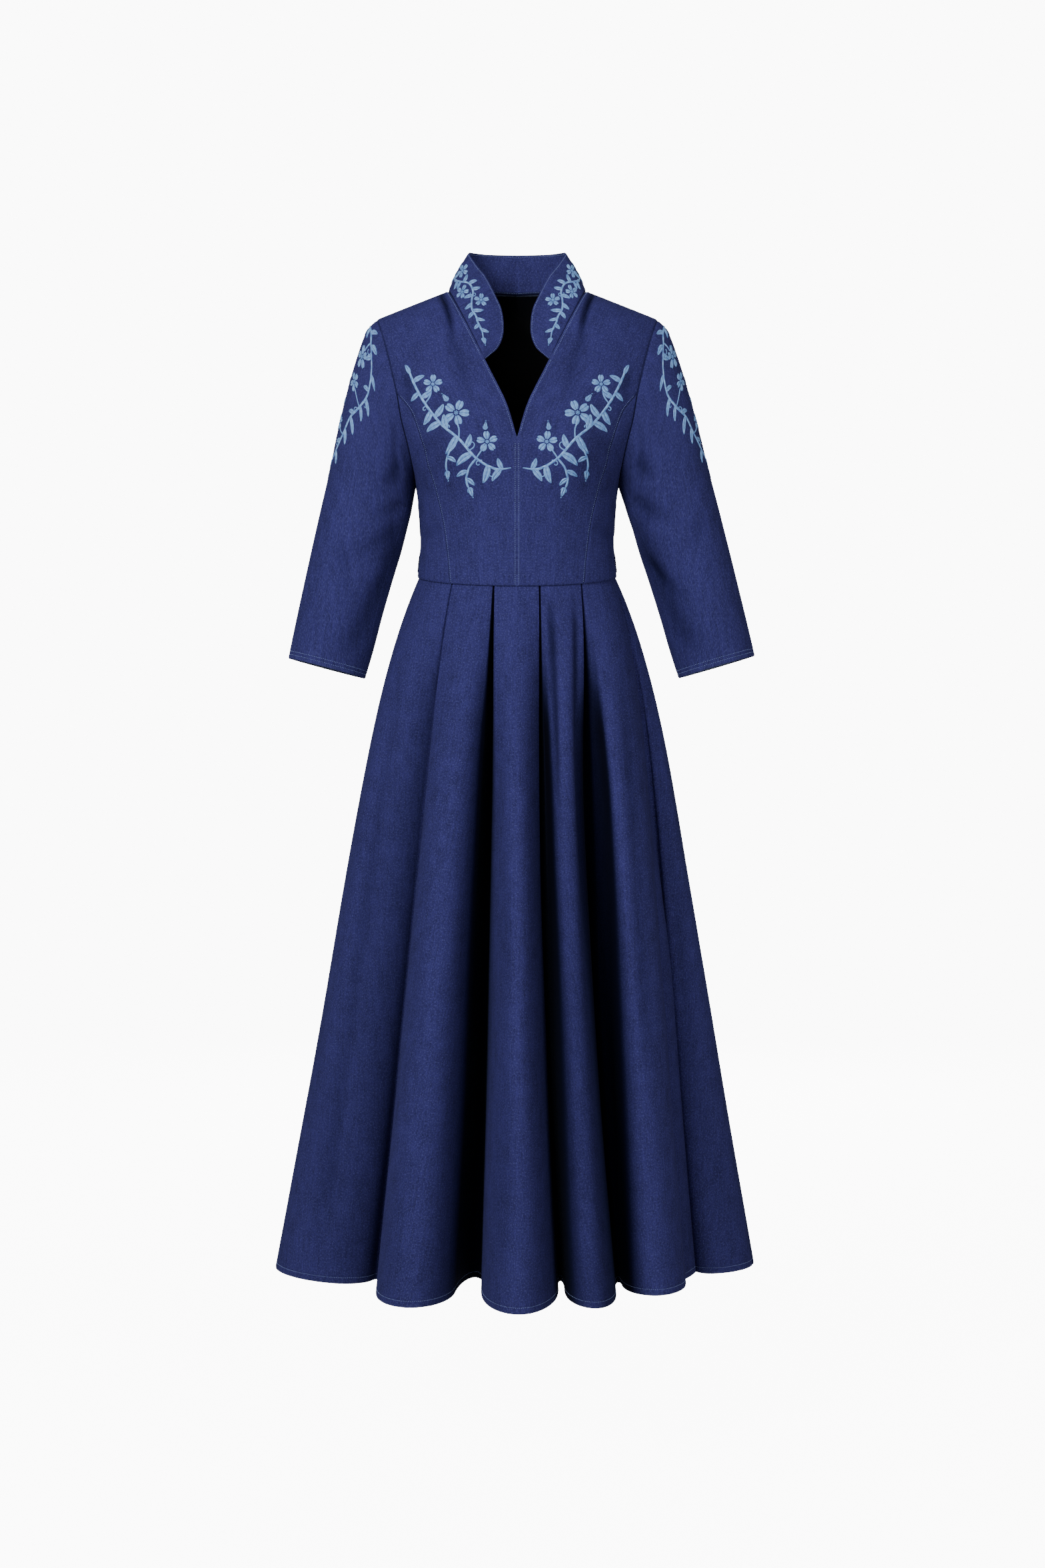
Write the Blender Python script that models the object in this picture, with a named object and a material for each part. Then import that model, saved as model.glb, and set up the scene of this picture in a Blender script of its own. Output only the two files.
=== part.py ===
"""A denim maxi dress, hollow as when it is worn, held up at its shoulder seams.

The front faces -Y, +X is the wearer's left, and the origin is on the centre line, level
with the neck ends of the shoulder seams. Every panel is a wall of cloth whose outer face
is a grid of points, worked out from the tables of sections and folds below. The tables
are in millimetres and degrees.
"""

import math
from collections import namedtuple

import bmesh
import bpy
import numpy as np

MM = 0.001
DENIM_WALL = 1.6 * MM
COLLAR_WALL = 2.4 * MM
LINING_WALL = 1.0 * MM
SEAM_GAP = 0.3 * MM
COLLAR_GAP = 1.0 * MM
LINING_GAP = 2.2 * MM
LINING_MARGIN = 4 * MM  # bare denim inside the neck and the armholes

HEM_HEIGHT = -1382 * MM
WAIST_HEIGHT = -401.5 * MM
WAIST_DIP = 0.212  # drop of the waist seam for each metre that it lies before the sides
WAIST_LAP = 5 * MM  # how far the skirt's top edge runs up inside the bodice
LAP_GAP = 1.1 * MM

NECK_HALF = 99 * MM
NECK_HEIGHT = 4 * MM
BACK_NECK_HEIGHT = 13.3 * MM
SHOULDER_HALF = 199.5 * MM
SHOULDER_SLOPE = 0.39
SHOULDER_ROUND = 62 * MM
V_DEPTH = -219.7 * MM
V_TOP_HALF = 45.4 * MM
V_TOP_HEIGHT = -105.7 * MM
ARMPIT_HEIGHT = -274 * MM
ARMHOLE_LIFT = 5.6 * MM  # how far the armhole's middle row lies above its half height
PRINCESS_TOP_HEIGHT = -149 * MM

# Steps of the grids, shared by the panels that meet so that their edges match
CENTRE_STEPS = 6
V_STEPS = 4
NECK_STEPS = 6
SIDE_STEPS = 4
ARMHOLE_STEPS = 6  # a quarter of the way round
SHOULDER_STEPS = 5
FRONT_COLUMNS = 9
SIDE_COLUMNS = 6
COLLAR_ROWS = 4

BUST_HALF = 86 * MM
BUST_HEIGHT = -238 * MM
BUST_RISE = 19 * MM
BUST_WIDTH = 42 * MM
BUST_LENGTH = 50 * MM


def table(columns, *rows):
    """A table in millimetres as one array in metres for each named column."""
    values = np.array(rows, float) * MM
    return {name: values[:, index] for index, name in enumerate(columns.split())}


# The bodice and shoulders as rings: half width, and depth before and behind the sides
GIRTH = table(
    "height half front back",
    (-440, 144.5, 106, 89),
    (-401.5, 142.0, 102, 85),
    (-359, 138.0, 101, 86),
    (-321, 139.0, 104, 91),
    (-283, 143.3, 108, 97),
    (-262, 147.8, 110, 100),
    (-238, 160.0, 110, 102),
    (-216, 172.0, 109, 104),
    (-189, 187.0, 106, 105),
    (-149, 203.0, 98, 104),
    (-120, 209.0, 91, 101),
    (-82, 215.0, 80, 94),
    (-35, 222.0, 66, 84),
    (10, 226.0, 56, 74),
    (70, 226.0, 46, 64),
)

# Seams, as their distance from the centre line at each height
ARMHOLE = table(
    "height across",
    (-274, 144.5),
    (-262, 145.6),
    (-238, 150.0),
    (-216, 155.0),
    (-189, 162.0),
    (-149, 169.0),
    (-124, 174.6),
    (-90, 182.7),
    (-52, 193.6),
    (-35, 199.5),
)
PRINCESS = table(
    "height across",
    (-425, 93.0),
    (-376, 97.5),
    (-330, 103.0),
    (-287, 114.0),
    (-248, 126.4),
    (-203, 138.5),
    (-178, 148.5),
    (-149, 169.0),
)
V_EDGE = table(
    "height across",
    (-219.7, 0.0),
    (-169, 15.1),
    (-137.4, 29.9),
    (-105.7, 45.4),
)

# The collar band from centre back to its front end: a point on the neck seam, then the one
# across from it on the free edge
COLLAR = table(
    "seam_x seam_z edge_x edge_y edge_z",
    (0, 13.3, 0, 60, 67.0),
    (32, 12.3, 27, 57, 66.5),
    (62, 9.7, 50, 45, 64.5),
    (88, 5.9, 64, 27, 62.5),
    (99, 4.0, 68, 8, 59.0),
    (94, -6.2, 58, -10, 41.0),
    (87.5, -19.5, 44, -27, 20.0),
    (79.5, -36, 30, -43, -10.0),
    (72, -51, 21.5, -55, -32.0),
    (64.5, -66.5, 18.5, -64, -57.0),
    (57.5, -81, 20.5, -70, -75.0),
    (52, -92, 27, -74, -90.0),
    (48, -100.3, 38, -77, -101.0),
)
SHOULDER_STATION = 4  # the collar row at the shoulder seams

# A sleeve from the shoulder to its hem: the outer and inner line of each ring, and its depth
SLEEVE = table(
    "outer_x outer_z inner_x inner_z front back",
    (199.5, -35.2, 144.9, -274, 55, 62),
    (215.0, -53, 146.3, -281, 56, 63),
    (229.5, -93, 147.5, -289, 58, 64),
    (243.0, -141, 149.0, -298, 60, 64),
    (256.5, -198, 151.5, -312, 61, 62),
    (268.0, -255, 156.5, -333, 61, 59),
    (281.2, -312, 165.0, -367, 60, 56),
    (294.5, -371, 177.0, -406, 59, 52),
    (307.0, -428, 192.0, -458, 58, 48),
    (317.3, -476, 204.3, -505, 57, 45),
    (326.0, -518, 216.6, -547, 56, 42),
)
SLEEVE_BLEND = 5  # rings over which the armhole's outline fades into the sleeve's
SLEEVE_UNDER = -0.3  # cosine of the turn past which the sleeve leaves the armhole downwards
SLEEVE_SWING = {"right": 0.0, "left": math.radians(1.5)}  # further out on the left

# A skirt fold, from the wearer's right side across the front and round the back. At the hem
# start, apex and end lie on its rounded crest, and valley is the bottom of the dip after it.
# waist is its stretch of the waist seam, tuck the depth of the pleat sewn at its end, gape
# the extra width of the dip at the hip, and late how late the fold widens on its way down.
Fold = namedtuple("Fold", "start apex end valley waist tuck gape late")
FOLDS = {
    "right_side": Fold((-342, 0), (-283, -106), (-197, -99), (-176, -114), (-90, -40.4), 5, 0, 1),
    "right_front": Fold((-190, -168), (-140, -265), (-82, -172), (-58, -84), (-40.4, -13.4), 8, 6, 1),
    "centre_front": Fold((-48.5, -172), (3, -303), (56, -172), (60, -108), (-13.4, 13), 8, 7, 2),
    "left_front": Fold((64.5, -178), (101, -269), (134, -186), (137, -122), (13, 39.9), 8, 18, 1.9),
    "left_hip": Fold((143, -139), (197, -193), (231, -98), (236, -52), (39.9, 80), 2, 0, 1),
    "left_side": Fold((250, -36), (288, -57), (336, 0), (336, 0), (80, 90), 0, 0, 0.95),
    "left_back_side": Fold((336, 0), (290, 96), (210, 104), (188, 98), (90, 138), 5, 6, 0.95),
    "left_back": Fold((196, 158), (142, 248), (94, 172), (76, 90), (138, 166), 8, 6, 1.2),
    "centre_back": Fold((58, 176), (0, 286), (-46, 178), (-52, 100), (166, 194), 8, 6, 1.6),
    "right_back": Fold((-62, 176), (-98, 268), (-136, 180), (-142, 104), (194, 220), 8, 10, 1.4),
    "right_hip": Fold((-154, 146), (-200, 204), (-246, 118), (-250, 66), (220, 258), 3, 0, 1),
    "right_back_side": Fold((-266, 58), (-300, 76), (-342, 0), (-342, 0), (258, 270), 0, 0, 1),
}
CREST_STEPS = 8
DIP_STEPS = 4
PLEAT_MOUTH = 1.5  # degrees of the waist seam on each side of a pleat
HIP_FRONT = 7 * MM
HIP_SIDE = 21.5 * MM
SKIRT_LEVELS = (0.0, 0.03, 0.075, 0.13, 0.2, 0.3, 0.42, 0.56, 0.7, 0.85, 1.0)

DENIM = {"name": "denim", "colour": (0.026, 0.038, 0.140, 1.0), "roughness": 0.86}
LINING = {"name": "lining", "colour": (0.004, 0.005, 0.009, 1.0), "roughness": 0.75}
X_AXIS, Y_AXIS, Z_AXIS = 0, 1, 2


def read(rows, column, at):
    """The column's value at a height, on a smooth curve through the table's rows."""
    places = rows["height"]
    values = rows[column]
    slopes = np.gradient(values, places)
    low = int(np.clip(np.searchsorted(places, at) - 1, 0, len(places) - 2))
    step = places[low + 1] - places[low]
    share = np.clip((at - places[low]) / step, 0.0, 1.0)
    rise = values[low + 1] - values[low]
    bend_low = slopes[low] * step - rise
    bend_high = rise - slopes[low + 1] * step
    bend = share * (1 - share) * ((1 - share) * bend_low + share * bend_high)
    return values[low] + share * rise + bend


def shoulder_line(x):
    return NECK_HEIGHT - SHOULDER_SLOPE * (abs(x) - NECK_HALF)


def shoulder_share(x, z):
    """0 on the shoulder line, rising to 1 where the cloth hangs straight below it."""
    below = np.clip((shoulder_line(x) - z) / SHOULDER_ROUND, 0.0, 1.0)
    return math.sqrt(1 - (1 - below) ** 2)


def bust(x, z):
    across = (abs(x) - BUST_HALF) / BUST_WIDTH
    along = (z - BUST_HEIGHT) / BUST_LENGTH
    return BUST_RISE * math.exp(-across * across - along * along)


def bodice_y(x, z, face):
    """How far the bodice's outer face lies before (-) or behind (+) the shoulder seams."""
    roundness = math.sqrt(max(0.0, 1 - (x / read(GIRTH, "half", z)) ** 2))
    depth = read(GIRTH, face, z)
    if face == "front":
        return -(depth + bust(x, z)) * roundness * shoulder_share(x, z)
    return depth * roundness * shoulder_share(x, z)


def waist_z(x, face):
    """The waist seam's height: it dips to the front and rises to the back."""
    height = WAIST_HEIGHT
    for _ in range(4):
        height = WAIST_HEIGHT + WAIST_DIP * bodice_y(x, height, face)
    return height


def side_x(z):
    return read(GIRTH, "half", z)


def armhole_x(z):
    return read(ARMHOLE, "across", z)


def princess_x(z):
    return read(PRINCESS, "across", z)


def centre_x(_):
    return 0.0


def v_edge_x(z):
    return read(V_EDGE, "across", z)


def front_neck_x(z):
    """The neck seam in front, a straight run from the top of the V to the shoulder seam."""
    share = (z - V_TOP_HEIGHT) / (NECK_HEIGHT - V_TOP_HEIGHT)
    return V_TOP_HALF + (NECK_HALF - V_TOP_HALF) * share


def back_neck_z(x):
    return BACK_NECK_HEIGHT - (BACK_NECK_HEIGHT - NECK_HEIGHT) * (x / NECK_HALF) ** 2


def leg(across, low, high, count):
    """Points (x, z) up a seam, closer together where the shoulder rounds over."""
    points = []
    for step in range(count + 1):
        share = step / count
        if high > PRINCESS_TOP_HEIGHT:
            share = math.sin(share * math.pi / 2)
        z = low + (high - low) * share
        points.append((across(z), z))
    return points


def armhole_leg(low_turn, high_turn, count):
    """Points (x, z) on the armhole, where half a turn is the armpit and 0 the shoulder."""
    top = shoulder_line(SHOULDER_HALF)
    points = []
    for turn in np.linspace(low_turn, high_turn, count + 1):
        z = (top + ARMPIT_HEIGHT) / 2 + (top - ARMPIT_HEIGHT) / 2 * math.cos(turn)
        z += ARMHOLE_LIFT * math.sin(turn) ** 2
        points.append((armhole_x(z), z))
    return points


def unit(vectors):
    return vectors / np.linalg.norm(vectors, axis=-1, keepdims=True)


def normals(grid, closed=False):
    """A normal at each grid point, by the right hand from columns to rows. It is longer
    where the columns turn a corner, so that a wall keeps its thickness there."""
    if closed:
        ahead = unit(np.roll(grid, -1, axis=1) - grid)
        behind = np.roll(ahead, 1, axis=1)
    else:
        spans = unit(np.diff(grid, axis=1))
        ahead = np.concatenate([spans, spans[:, -1:]], axis=1)
        behind = np.concatenate([spans[:, :1], spans], axis=1)
    along = (ahead + behind) / 2
    corner = np.maximum(np.linalg.norm(along, axis=2, keepdims=True), 0.5)
    return unit(np.cross(along, np.gradient(grid, axis=0))) / corner


def patch(inner, outer, columns, face, foot, top=None):
    """A grid on the bodice between two edges. foot is the height of its bottom row above
    the waist seam, and top, if given, the (x, z) points of its top row."""
    last = len(inner) - 1
    grid = np.zeros((last + 1, columns + 1, 3))
    for row, ((x0, z0), (x1, z1)) in enumerate(zip(inner, outer)):
        turn0 = math.asin(min(1.0, x0 / side_x(z0)))
        turn1 = math.asin(min(1.0, x1 / side_x(z1)))
        up = row / last
        for column in range(columns + 1):
            turn = turn0 + (turn1 - turn0) * column / columns
            share = (math.sin(turn) - math.sin(turn0)) / (math.sin(turn1) - math.sin(turn0))
            if top:
                top_share = (top[column][0] - top[0][0]) / (top[-1][0] - top[0][0])
                share += (top_share - share) * up
            x = x0 + (x1 - x0) * share
            z = z0 + (z1 - z0) * share
            low_chord = inner[0][1] + (outer[0][1] - inner[0][1]) * share
            z += (waist_z(x, face) + foot - low_chord) * (1 - up) ** 4
            if top:
                top_chord = inner[-1][1] + (outer[-1][1] - inner[-1][1]) * share
                z += (top[column][1] - top_chord) * up**4
            grid[row, column] = (x, bodice_y(x, z, face), z)
    return grid


def squared(directions, squares):
    """The normals with no part along the given axis at the given rows and columns, so
    that the edges of two panels that meet there stay parallel."""
    for rows, columns, axis in squares:
        directions[rows, columns, axis] = 0
        directions[rows, columns] = unit(directions[rows, columns])
    return directions


def cut_short(points, share):
    """The points with the last one drawn back along the last step."""
    (x0, z0), (x1, z1) = points[-2:]
    return points[:-1] + [(x0 + (x1 - x0) * share, z0 + (z1 - z0) * share)]


def cell_triangles(points, a, b, c, d):
    """Two triangles over a cell, split along its shorter diagonal."""
    if np.linalg.norm(points[a] - points[c]) <= np.linalg.norm(points[b] - points[d]):
        return ((a, b, c), (a, c, d))
    return ((a, b, d), (b, c, d))


def wall(name, outer, thickness, look, outward=1, squares=(), closed=False, mirrored=False):
    """A closed wall of cloth: the outer grid, the same grid moved in, and the rims."""
    outward_normals = squared(normals(outer, closed) * outward, squares)
    points = np.concatenate([outer, outer - outward_normals * thickness]).reshape(-1, 3)
    if mirrored:
        points = points * (-1, 1, 1)
    rows, columns = outer.shape[:2]
    shift = rows * columns
    spans = columns if closed else columns - 1
    faces = []
    for row in range(rows - 1):
        for column in range(spans):
            after = (column + 1) % columns
            low, high = row * columns, (row + 1) * columns
            for triangle in cell_triangles(points, low + column, low + after, high + after, high + column):
                faces.append(triangle)
                faces.append([corner + shift for corner in reversed(triangle)])
    for column in range(spans):
        after = (column + 1) % columns
        for start in (0, shift - columns):
            near, far = start + column, start + after
            faces.append((near, near + shift, far + shift, far))
    if not closed:
        for row in range(rows - 1):
            for start in (0, columns - 1):
                near, far = row * columns + start, (row + 1) * columns + start
                faces.append((near, near + shift, far + shift, far))
    shape = bmesh.new()
    corners = [shape.verts.new(point) for point in points]
    for face in faces:
        shape.faces.new([corners[corner] for corner in face])
    bmesh.ops.recalc_face_normals(shape, faces=shape.faces)
    mesh = bpy.data.meshes.new(name)
    shape.to_mesh(mesh)
    shape.free()
    mesh.shade_smooth()
    mesh.set_sharp_from_angle(angle=math.radians(50))
    mesh.materials.append(material_of(look))
    piece = bpy.data.objects.new(name, mesh)
    bpy.context.scene.collection.objects.link(piece)


def material_of(look):
    material = bpy.data.materials.new(look["name"])
    material.use_nodes = True
    shader = material.node_tree.nodes["Principled BSDF"]
    shader.inputs["Base Color"].default_value = look["colour"]
    shader.inputs["Roughness"].default_value = look["roughness"]
    shader.inputs["Metallic"].default_value = 0.0
    return material


def princess_leg():
    low = waist_z(princess_x(WAIST_HEIGHT), "front")
    return leg(princess_x, low, PRINCESS_TOP_HEIGHT, SIDE_STEPS + ARMHOLE_STEPS)


def front_grid():
    """The centre panel, with the V's edge and the neck seam on its inner edge."""
    centre = leg(centre_x, waist_z(0, "front"), V_DEPTH, CENTRE_STEPS)
    inner = centre + leg(v_edge_x, V_DEPTH, V_TOP_HEIGHT, V_STEPS)[1:]
    inner += leg(front_neck_x, V_TOP_HEIGHT, NECK_HEIGHT, NECK_STEPS)[1:]
    outer = princess_leg() + armhole_leg(math.pi / 2, 0, ARMHOLE_STEPS)[1:]
    return patch(inner, outer, FRONT_COLUMNS, "front", 0.0)


def side_front_grid():
    """The panel between the princess seam and the side seam, up to the armhole."""
    side = leg(side_x, WAIST_HEIGHT, ARMPIT_HEIGHT, SIDE_STEPS)
    outer = side + armhole_leg(math.pi, math.pi / 2, ARMHOLE_STEPS)[1:]
    inner = princess_leg()
    return patch(cut_short(inner, 0.6), cut_short(outer, 0.6), SIDE_COLUMNS, "front", 0.0)


def back_grid(foot, margin):
    """The back from the centre back seam to the side seam and armhole."""
    neck = [(x, back_neck_z(x) - margin) for x in COLLAR["seam_x"][: SHOULDER_STATION + 1]]
    tip = SHOULDER_HALF - margin
    shoulder = [(x, shoulder_line(x)) for x in np.linspace(NECK_HALF, tip, SHOULDER_STEPS + 1)[1:]]
    side = leg(side_x, WAIST_HEIGHT + foot, ARMPIT_HEIGHT, SIDE_STEPS)
    outer = side + armhole_leg(math.pi, 0, 2 * ARMHOLE_STEPS)[1:]
    outer = [(x - margin * (row > SIDE_STEPS), z) for row, (x, z) in enumerate(outer)]
    inner = leg(centre_x, waist_z(0, "back") + foot, neck[0][1], len(outer) - 1)
    return patch(inner, outer, len(neck + shoulder) - 1, "back", foot, neck + shoulder)


def lining_front_grid(foot):
    """The front lining in one piece, from the centre and the V to the side and armhole."""
    centre = leg(centre_x, waist_z(0, "front") + foot, V_DEPTH - LINING_MARGIN, CENTRE_STEPS)
    v_edge = leg(v_edge_x, V_DEPTH, V_TOP_HEIGHT, V_STEPS)[1:]
    neck = leg(front_neck_x, V_TOP_HEIGHT, shoulder_line(NECK_HALF + LINING_MARGIN), NECK_STEPS)[1:]
    inner = centre + [(x + LINING_MARGIN, z) for x, z in v_edge + neck]
    side = leg(side_x, WAIST_HEIGHT + foot, ARMPIT_HEIGHT, SIDE_STEPS)
    outer = side + armhole_leg(math.pi, 0, 2 * ARMHOLE_STEPS)[1:]
    outer = [(x - LINING_MARGIN * (row > SIDE_STEPS), z) for row, (x, z) in enumerate(outer)]
    return patch(inner, outer, FRONT_COLUMNS, "front", foot)


def build_bodice(side, mirrored):
    """The denim panels of one half, and the lining just inside them."""
    front = front_grid()
    front += (SEAM_GAP / 2, -SEAM_GAP / 2, 0)
    front[:, -1, X_AXIS] -= SEAM_GAP
    armhole_rows = slice(SIDE_STEPS + ARMHOLE_STEPS, None)
    squares = (
        (slice(0, CENTRE_STEPS + 1), 0, X_AXIS),
        (armhole_rows, -1, X_AXIS),
        (-1, slice(None), Y_AXIS),
    )
    wall(f"front_{side}", front, DENIM_WALL, DENIM, squares=squares, mirrored=mirrored)

    side_front = side_front_grid()
    side_front += (SEAM_GAP, -SEAM_GAP / 2, 0)
    side_front[SIDE_STEPS:, -1, X_AXIS] -= SEAM_GAP
    side_rows = slice(0, SIDE_STEPS + 1)
    squares = ((side_rows, -1, Y_AXIS),)
    wall(f"side_front_{side}", side_front, DENIM_WALL, DENIM, squares=squares, mirrored=mirrored)

    back = back_grid(0.0, 0.0)
    back += (SEAM_GAP / 2, SEAM_GAP / 2, 0)
    back[SIDE_STEPS:, -1, X_AXIS] -= SEAM_GAP
    squares = (
        (slice(None), 0, X_AXIS),
        (side_rows, -1, Y_AXIS),
        (armhole_rows, -1, X_AXIS),
        (-1, slice(SHOULDER_STATION, None), Y_AXIS),
    )
    wall(f"back_{side}", back, DENIM_WALL, DENIM, outward=-1, squares=squares, mirrored=mirrored)

    foot = WAIST_LAP + 2 * MM
    squares = (
        (slice(None), 0, X_AXIS),
        (side_rows, -1, Y_AXIS),
        (-1, slice(SHOULDER_STATION, None), Y_AXIS),
    )
    for face, grid, way in (("front", lining_front_grid(foot), 1), ("back", back_grid(foot, LINING_MARGIN), -1)):
        grid -= squared(normals(grid) * way, squares) * (DENIM_WALL + LINING_GAP)
        grid += (SEAM_GAP / 2, -way * SEAM_GAP / 2, 0)
        wall(f"lining_{face}_{side}", grid, LINING_WALL, LINING, way, squares, mirrored=mirrored)


def on_line(points, axis, at):
    """The point at this x or z on a line of points."""
    order = np.argsort(points[:, axis])
    return np.array([np.interp(at, points[order, axis], points[order, other]) for other in range(3)])


def build_collar(side, mirrored):
    """Half of the standing collar, from the centre back to its rounded front end."""
    back_neck = back_grid(0.0, 0.0)[-1, : SHOULDER_STATION + 1]
    front_neck = front_grid()[CENTRE_STEPS + V_STEPS :, 0]
    stations = len(COLLAR["seam_x"])
    grid = np.zeros((COLLAR_ROWS, stations, 3))
    for station in range(stations):
        if station <= SHOULDER_STATION:
            seam = on_line(back_neck, X_AXIS, COLLAR["seam_x"][station])
        else:
            seam = on_line(front_neck, Z_AXIS, COLLAR["seam_z"][station])
        free = np.array([COLLAR[column][station] for column in ("edge_x", "edge_y", "edge_z")])
        shares = np.linspace(COLLAR_GAP / np.linalg.norm(free - seam), 1, COLLAR_ROWS)
        grid[:, station] = seam + (free - seam) * shares[:, None]
    grid[:, 0, X_AXIS] += SEAM_GAP / 2
    squares = ((slice(None), 0, X_AXIS),)
    wall(f"collar_{side}", grid, COLLAR_WALL, DENIM, -1, squares, mirrored=mirrored)


def sleeve_ellipse(ring, turn):
    """A point of a sleeve's ring before the armhole draws it; turn runs from the shoulder
    round the front."""
    top = np.array((SLEEVE["outer_x"][ring], 0, SLEEVE["outer_z"][ring]))
    under = np.array((SLEEVE["inner_x"][ring], 0, SLEEVE["inner_z"][ring]))
    depth = -SLEEVE["front"][ring] if turn <= math.pi else SLEEVE["back"][ring]
    point = (top + under) / 2 + (top - under) / 2 * math.cos(turn)
    point[Y_AXIS] = depth * abs(math.sin(turn))
    return point


def build_sleeve(side, mirrored):
    rings = len(SLEEVE["outer_x"])
    half = 2 * ARMHOLE_STEPS
    armhole = armhole_leg(0, math.pi, half)
    grid = np.zeros((rings, 2 * half, 3))
    pivot = np.array((SHOULDER_HALF, 0, shoulder_line(SHOULDER_HALF)))
    for ring in range(rings):
        draw = max(0.0, 1 - ring / SLEEVE_BLEND)
        swing = SLEEVE_SWING[side] * (1 - draw)
        for step in range(2 * half):
            turn = math.pi * step / half
            face = "front" if step <= half else "back"
            x, z = armhole[step if step <= half else 2 * half - step]
            seam = np.array((x, bodice_y(x, z, face), z))
            point = sleeve_ellipse(ring, turn) + (seam - sleeve_ellipse(0, turn)) * draw
            across, _, down = point - pivot
            point[X_AXIS] = pivot[0] + across * math.cos(swing) - down * math.sin(swing)
            point[Z_AXIS] = pivot[2] + across * math.sin(swing) + down * math.cos(swing)
            grid[ring, step] = point
    grid[:, :, X_AXIS] += SEAM_GAP / 2
    upper = [step for step in range(2 * half) if math.cos(math.pi * step / half) > SLEEVE_UNDER]
    wall(f"sleeve_{side}", grid, DENIM_WALL, DENIM, 1, ((0, upper, X_AXIS),), True, mirrored)


def arc(start, apex, end, turn):
    """A point on the half ellipse from start over apex to end; turn runs from 0 to pi."""
    start, apex, end = np.array(start) * MM, np.array(apex) * MM, np.array(end) * MM
    middle = (start + end) / 2
    return middle - (end - start) / 2 * math.cos(turn) + (apex - middle) * math.sin(turn)


def waist_point(turn, tuck):
    """A point of the skirt's outer face on the waist seam, and the way out from it."""
    turn = math.radians(turn)
    face = "front" if math.cos(turn) > 0 else "back"
    x = side_x(WAIST_HEIGHT) * math.sin(turn)
    z = waist_z(x, face)
    y = bodice_y(x, z, face)
    out = np.array((x / side_x(z) ** 2, y / read(GIRTH, face, z) ** 2, 0))
    out /= np.linalg.norm(out)
    return np.array((x, y, z)) - out * (DENIM_WALL + LAP_GAP + tuck), out


def hip_bulge(share):
    """A swell that peaks a quarter of the way down and is gone at the hem."""
    return 4 * share * math.exp(1 - 4 * share) - share * 4 * math.exp(-3)


def skirt_strands(fold, before, after):
    """Each strand of cloth that runs down a fold and the dip after it: its hem point, its
    place on the waist seam, how far it is tucked in there, and its share of the gape."""
    mouth_before = PLEAT_MOUTH if before.tuck else 0
    mouth = PLEAT_MOUTH if fold.tuck else 0
    low, high = fold.waist[0] + mouth_before, fold.waist[1] - mouth
    way = 1 if fold.end[0] > fold.start[0] else -1
    strands = []
    for step in range(CREST_STEPS + 1):
        turn = math.pi * step / CREST_STEPS
        lean = math.cos(turn)
        gape = way * lean * abs(lean) * (before.gape if lean > 0 else fold.gape)
        place = low + (high - low) * step / CREST_STEPS
        strands.append((arc(fold.start, fold.apex, fold.end, turn), place, 0.0, gape * MM / 2))
    if mouth:
        for step in range(1, DIP_STEPS):
            turn = math.pi * step / DIP_STEPS
            place = high + 2 * PLEAT_MOUTH * step / DIP_STEPS
            hem = arc(fold.end, fold.valley, after.start, turn)
            gape = -way * math.cos(turn) * fold.gape
            strands.append((hem, place, fold.tuck * MM * math.sin(turn), gape * MM / 2))
    return [(*strand, fold.late) for strand in strands]


def strand_point(strand, share):
    hem, place, tuck, gape, late = strand
    waist, out = waist_point(place, tuck)
    hip = HIP_FRONT + (HIP_SIDE - HIP_FRONT) * math.sin(math.radians(place)) ** 2
    x = waist[0] + (hem[0] - waist[0]) * share**late + gape * hip_bulge(share)
    y = waist[1] + (hem[1] - waist[1]) * share
    z = waist[2] + (HEM_HEIGHT - waist[2]) * share
    return np.array((x, y, z)) + out * hip * hip_bulge(share)


def build_skirt():
    """Three front gores, joined inside the two deep pleats, and the two back panels."""
    names = list(FOLDS)
    around = {}
    for index, name in enumerate(names):
        before = FOLDS[names[index - 1]]
        after = FOLDS[names[(index + 1) % len(names)]]
        around[name] = skirt_strands(FOLDS[name], before, after)
    crest = CREST_STEPS // 2
    dip = CREST_STEPS + DIP_STEPS // 2
    right, centre, back = around["right_front"], around["centre_front"], around["centre_back"]
    strands = {
        "skirt_front_right": around["right_side"] + right[: dip + 1],
        "skirt_front_centre": right[dip:] + centre[: dip + 1],
        "skirt_front_left": centre[dip:] + sum((around[name] for name in names[3:6]), []),
        "skirt_back_left": sum((around[name] for name in names[6:8]), []) + back[: crest + 1],
        "skirt_back_right": back[crest:] + sum((around[name] for name in names[9:]), []),
    }
    seams = {
        "skirt_front_right": (Y_AXIS, X_AXIS, (-2, -1, 0)),
        "skirt_front_centre": (X_AXIS, X_AXIS, (0, -1, 0)),
        "skirt_front_left": (X_AXIS, Y_AXIS, (2, -1, 0)),
        "skirt_back_left": (Y_AXIS, X_AXIS, (1, 1, 0)),
        "skirt_back_right": (X_AXIS, Y_AXIS, (-1, 1, 0)),
    }
    for name, panel in strands.items():
        first, last, shift = seams[name]
        grid = np.array([[strand_point(strand, share) for strand in panel] for share in SKIRT_LEVELS])
        grid = np.concatenate([grid[:1] + (0, 0, WAIST_LAP), grid])
        grid += np.array(shift) * SEAM_GAP / 2
        squares = ((slice(None), 0, first), (slice(None), -1, last))
        wall(name, grid, DENIM_WALL, DENIM, outward=-1, squares=squares)


for old in list(bpy.data.objects):
    bpy.data.objects.remove(old, do_unlink=True)
for side, mirrored in (("left", False), ("right", True)):
    build_bodice(side, mirrored)
    build_collar(side, mirrored)
    build_sleeve(side, mirrored)
build_skirt()
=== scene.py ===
import math
from collections import namedtuple

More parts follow.
